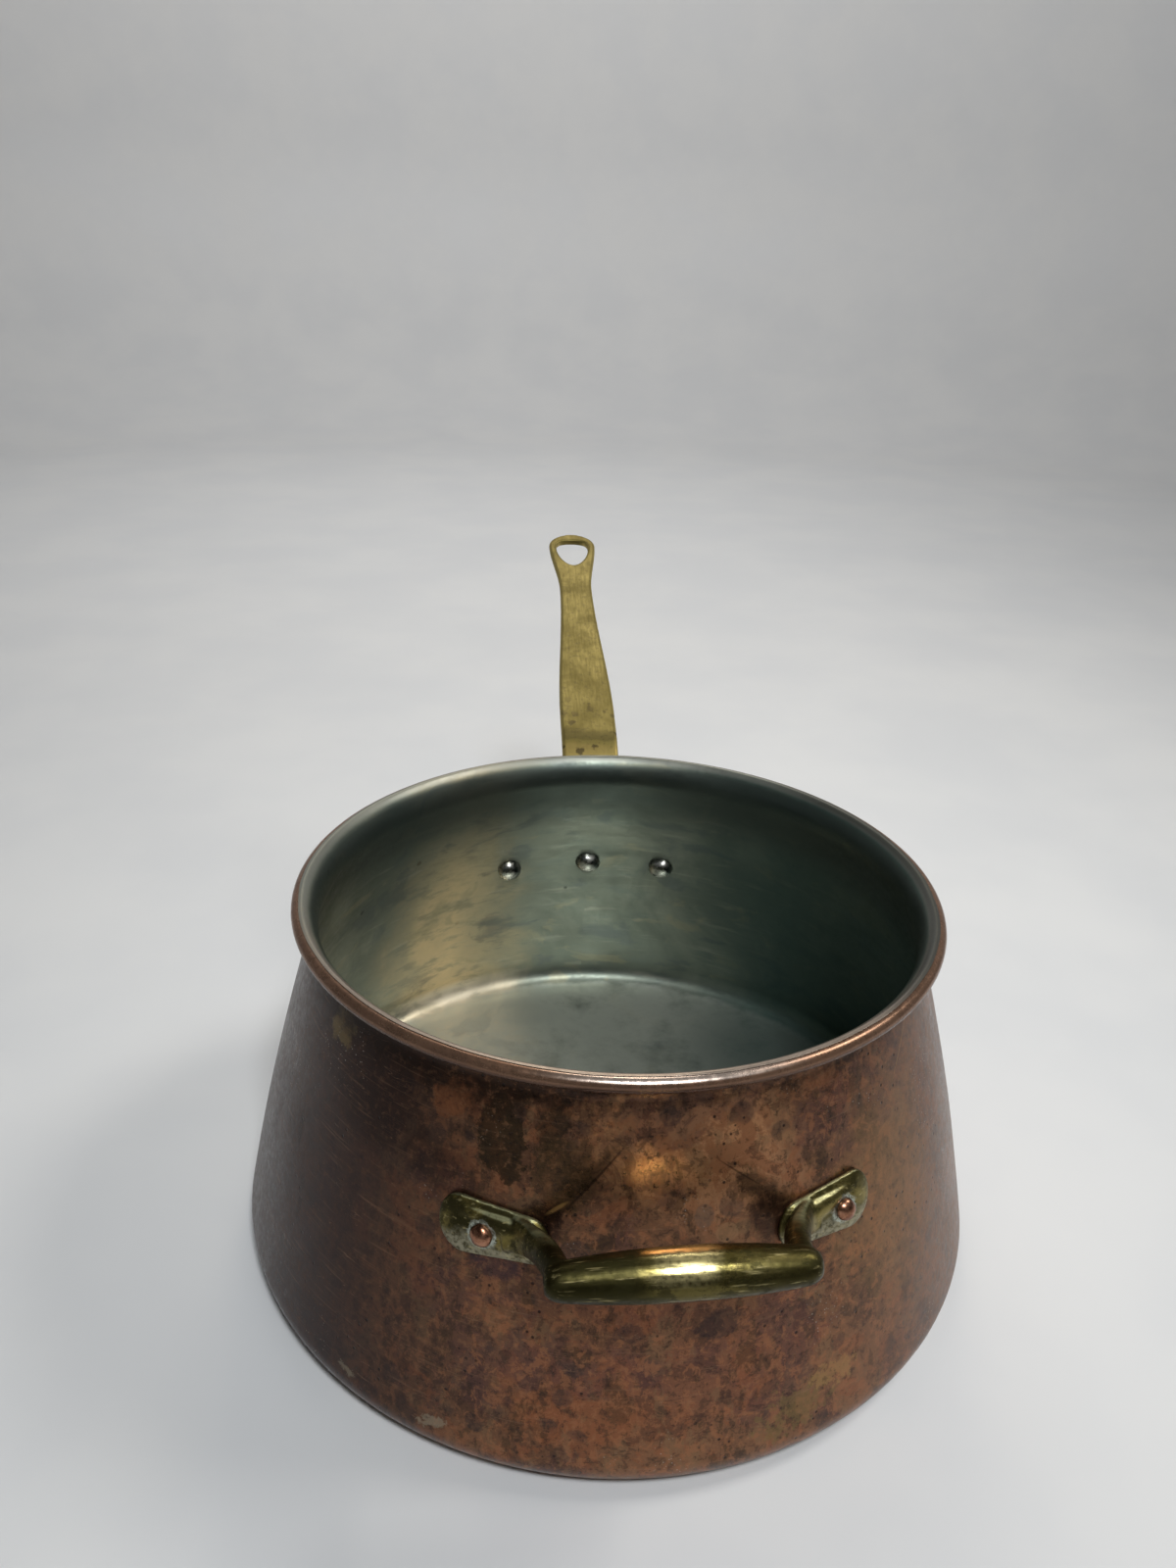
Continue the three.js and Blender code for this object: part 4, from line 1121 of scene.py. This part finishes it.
def ridge_skin(side):
    """The rib over the rivet that an arm runs out in."""
    rings = []
    for share in np.linspace(0, 1, 12):
        across, rise, half_thick, half_high = lerp(RIDGE_FAR_END, RIDGE_NEAR_END, share)
        places, outwards = wall_points(side * across, HELPER_RIVET_HEIGHT + rise, -1, RIDGE_DEPTH)
        outward = outwards[0]
        upward = unit(np.cross(outward, np.array([1.0, 0.0, 0.0])))
        rings.append(section_ring(places[0], outward, upward, half_thick, half_high))
    return loft(rings)


def section_ring(centre, outward, upward, half_out, half_up, count=28):
    """A ring round a centre: an ellipse, a little squared off."""
    angles = circle(count)[:, None]
    out = np.sign(np.cos(angles)) * np.abs(np.cos(angles)) ** SECTION_POWER
    up = np.sign(np.sin(angles)) * np.abs(np.sin(angles)) ** SECTION_POWER
    return centre + outward * half_out * out + upward * half_up * up


def grip_skin():
    """The grip: a barrel, thickest at the middle, with rounded ends."""
    half = GRIP_LENGTH / 2
    rounding = GRIP_END_WIDTH / 2
    from_ends = np.concatenate([
        rounding * (1 - np.cos(math.pi / 2 * np.linspace(0.03, 1, 10))),
        np.linspace(rounding, half, 16)[1:],
    ])
    rings = []
    for across in np.concatenate([half - from_ends, from_ends[::-1][1:] - half]):
        from_end = half - abs(across)
        inward = from_end / half * (2 - from_end / half)
        size = lerp(GRIP_END_BLUNTNESS, 1, round_end(from_end, rounding)) / 2
        rings.append(section_ring(
            GRIP_CENTRE + np.array([across, 0, 0]), GRIP_OUT, GRIP_UP,
            size * lerp(GRIP_END_WIDTH, GRIP_MIDDLE_WIDTH, inward),
            size * lerp(GRIP_END_THICKNESS, GRIP_MIDDLE_THICKNESS, inward)))
    return loft(rings)


def arm_skin(side):
    """One arm: it leaves its pad along the wall and turns out to the grip."""
    start_height = HELPER_RIVET_HEIGHT + ARM_ELBOW_RISE / 2
    elbow_height = HELPER_RIVET_HEIGHT + ARM_ELBOW_RISE
    start = wall_points(side * ARM_ROOT, start_height, -1, SEAT_GAP + PAD_THICKNESS / 2)[0][0]
    corner = wall_points(side * ARM_SPACING / 2, elbow_height, -1, SEAT_GAP + ARM_WIDTH / 2)[0][0]
    finish = GRIP_CENTRE + np.array([side * ARM_SPACING / 2, 0, 0])
    rings = []
    for share in np.linspace(0, 1, 25):
        point, way = bezier((start, corner, finish), share)
        thickwise = unit(np.cross(way, GRIP_UP))
        upwise = unit(np.cross(thickwise, way))
        change = smoothstep(share, 0, 0.6)
        half_thick = lerp(PAD_THICKNESS, ARM_WIDTH, change) / 2
        half_high = lerp(2 * PAD_TAPER_RADIUS, ARM_HEIGHT, change) / 2
        rings.append(section_ring(point, thickwise, upwise, half_thick, half_high))
    return loft(rings)


def helper_handle():
    """The helper handle: two pads, two arms and a grip in one casting."""
    skins = [grip_skin(), *(part(side) for part in (pad_skin, ridge_skin, arm_skin) for side in (-1, 1))]
    handle = fused(joined("helper_casting", skins), HELPER_VOXEL, 8)
    keep_off_wall(handle, SEAT_GAP)
    handle.data.transform(HELPER_TURNED)
    drilled(handle, hole_cutters(HELPER_RIVET, HELPER_RIVETS, -1, HELPER_TURN))
    handle.data.materials.append(HELPER_BRASS)
    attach(handle, "root")
    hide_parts("helper_handle")


def rivet_piece(name, node, rivet, place, side, turn, plate_thickness, phase):
    """One rivet: a tinned head inside the pan and a hammered copper head outside."""
    inner_seat = -(COPPER_THICKNESS + TIN_GAP + TIN_THICKNESS + HEAD_GAP)
    outer_seat = SEAT_GAP + plate_thickness + HEAD_GAP
    quarter = arc((0, 0), 1, 0, math.pi / 2, 12)
    inner = quarter[::-1] * (rivet["inner_head"], -rivet["inner_rise"]) + (0, inner_seat)
    outer = quarter * (rivet["outer_head"], rivet["outer_rise"]) + (0, outer_seat)
    shank = [(rivet["shank"], inner_seat), (rivet["shank"], outer_seat)]
    vertices, faces = turned(np.concatenate([inner, shank, outer]), RIVET_SEGMENTS)
    angle = np.arctan2(vertices[:, 1], vertices[:, 0])
    lopsided = 1 + HEAD_OVAL * np.sin(2 * angle + phase) + HEAD_LOBES * np.sin(5 * angle + 2 * phase)
    on_head = np.hypot(vertices[:, 0], vertices[:, 1]) > rivet["shank"] * 1.01
    vertices[on_head, :2] *= lopsided[on_head, None]
    piece = add_object(name, vertices, faces)
    piece.data.transform(rivet_place(*place, side, turn))
    piece.data.materials.append(RIVET_COPPER)
    piece.data.materials.append(RIVET_TIN)
    axis = math.hypot(*wall_points(*place, side, 0)[0][0][:2])
    for polygon in piece.data.polygons:
        polygon.material_index = int(math.hypot(polygon.center.x, polygon.center.y) < axis)
    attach(piece, "root")
    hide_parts(node)


def rivets():
    """All five rivets, each hammered a little differently."""
    for phase, (which, *place) in enumerate(LONG_RIVETS):
        rivet_piece("strap_rivet_" + which, "long_handle_rivet_" + which, LONG_RIVET, place, 1, 0,
                    FLANGE_THICKNESS, phase)
    for phase, (which, *place) in enumerate(HELPER_RIVETS):
        rivet_piece("small_rivet_" + which, "helper_rivet_" + which, HELPER_RIVET, place, -1, HELPER_TURN,
                    PAD_THICKNESS, phase + 3)


def add_floor():
    """The table top, which turns up into a wall far away on all sides."""
    flat = [(radius, 0) for radius in FLOOR_RINGS]
    turn = arc((FLOOR_REACH, FLOOR_TURN), FLOOR_TURN, -math.pi / 2, 0, 16)
    profile = np.concatenate([flat, turn, [(FLOOR_REACH + FLOOR_TURN, FLOOR_RISE)]])
    rings = [polar_ring(radius, height - FLOOR_DROP, FLOOR_SEGMENTS) for radius, height in profile]
    vertices, faces = loft(rings)
    open_above = [face[::-1] for face in faces[:-1]]
    mesh = bpy.data.meshes.new("floor")
    mesh.from_pydata([tuple(vertex) for vertex in vertices], [], open_above)
    mesh.shade_smooth()
    floor = bpy.data.objects.new("floor", mesh)
    scene.collection.objects.link(floor)
    mesh.materials.append(floor_finish())


def area_light(name, place, target, size, spread, power, colour):
    """A square lamp that faces a point, with its beam kept to a spread in degrees."""
    data = bpy.data.lights.new(name, "AREA")
    data.shape = "SQUARE"
    data.size = size
    data.spread = spread * DEGREE
    data.energy = power
    data.color = colour
    light = bpy.data.objects.new(name, data)
    aim = (Vector(target) - Vector(place)).to_track_quat("-Z", "Y").to_matrix().to_4x4()
    light.matrix_world = Matrix.Translation(Vector(place)) @ aim
    scene.collection.objects.link(light)


def add_lights():
    """Soft studio light in a dim pale room.

    The heads of the rivets, the rim and the grip show where the photo's lamps are: a cool one
    high in front, a soft one on the right and a warm one behind.
    """
    area_light("front_lamp", (0.14, -0.80, 1.30), (0, 0.12, 0), 0.28, 80, 2.7, (0.95, 0.98, 1.0))
    area_light("right_lamp", (0.80, 0.10, 1.10), (0, 0.10, 0), 0.35, 90, 1.3, (1.0, 0.97, 0.92))
    area_light("warm_lamp", (0.12, 0.90, 1.10), (0, 0, 0.05), 0.25, 90, 0.3, (1.0, 0.86, 0.66))
    area_light("wall_lamp", (0.0, 0.9, 1.3), (0.1, 2.0, 0.1), 0.8, 180, 11, (1.0, 0.98, 0.95))
    world = bpy.data.worlds.new("room")
    world.use_nodes = True
    background = world.node_tree.nodes["Background"]
    background.inputs["Color"].default_value = (0.80, 0.84, 0.86, 1)
    background.inputs["Strength"].default_value = 0.08
    scene.world = world
    scene.view_settings.view_transform = "Standard"


copper_shell()
tin_skin()
long_handle()
helper_handle()
rivets()
add_floor()
add_lights()
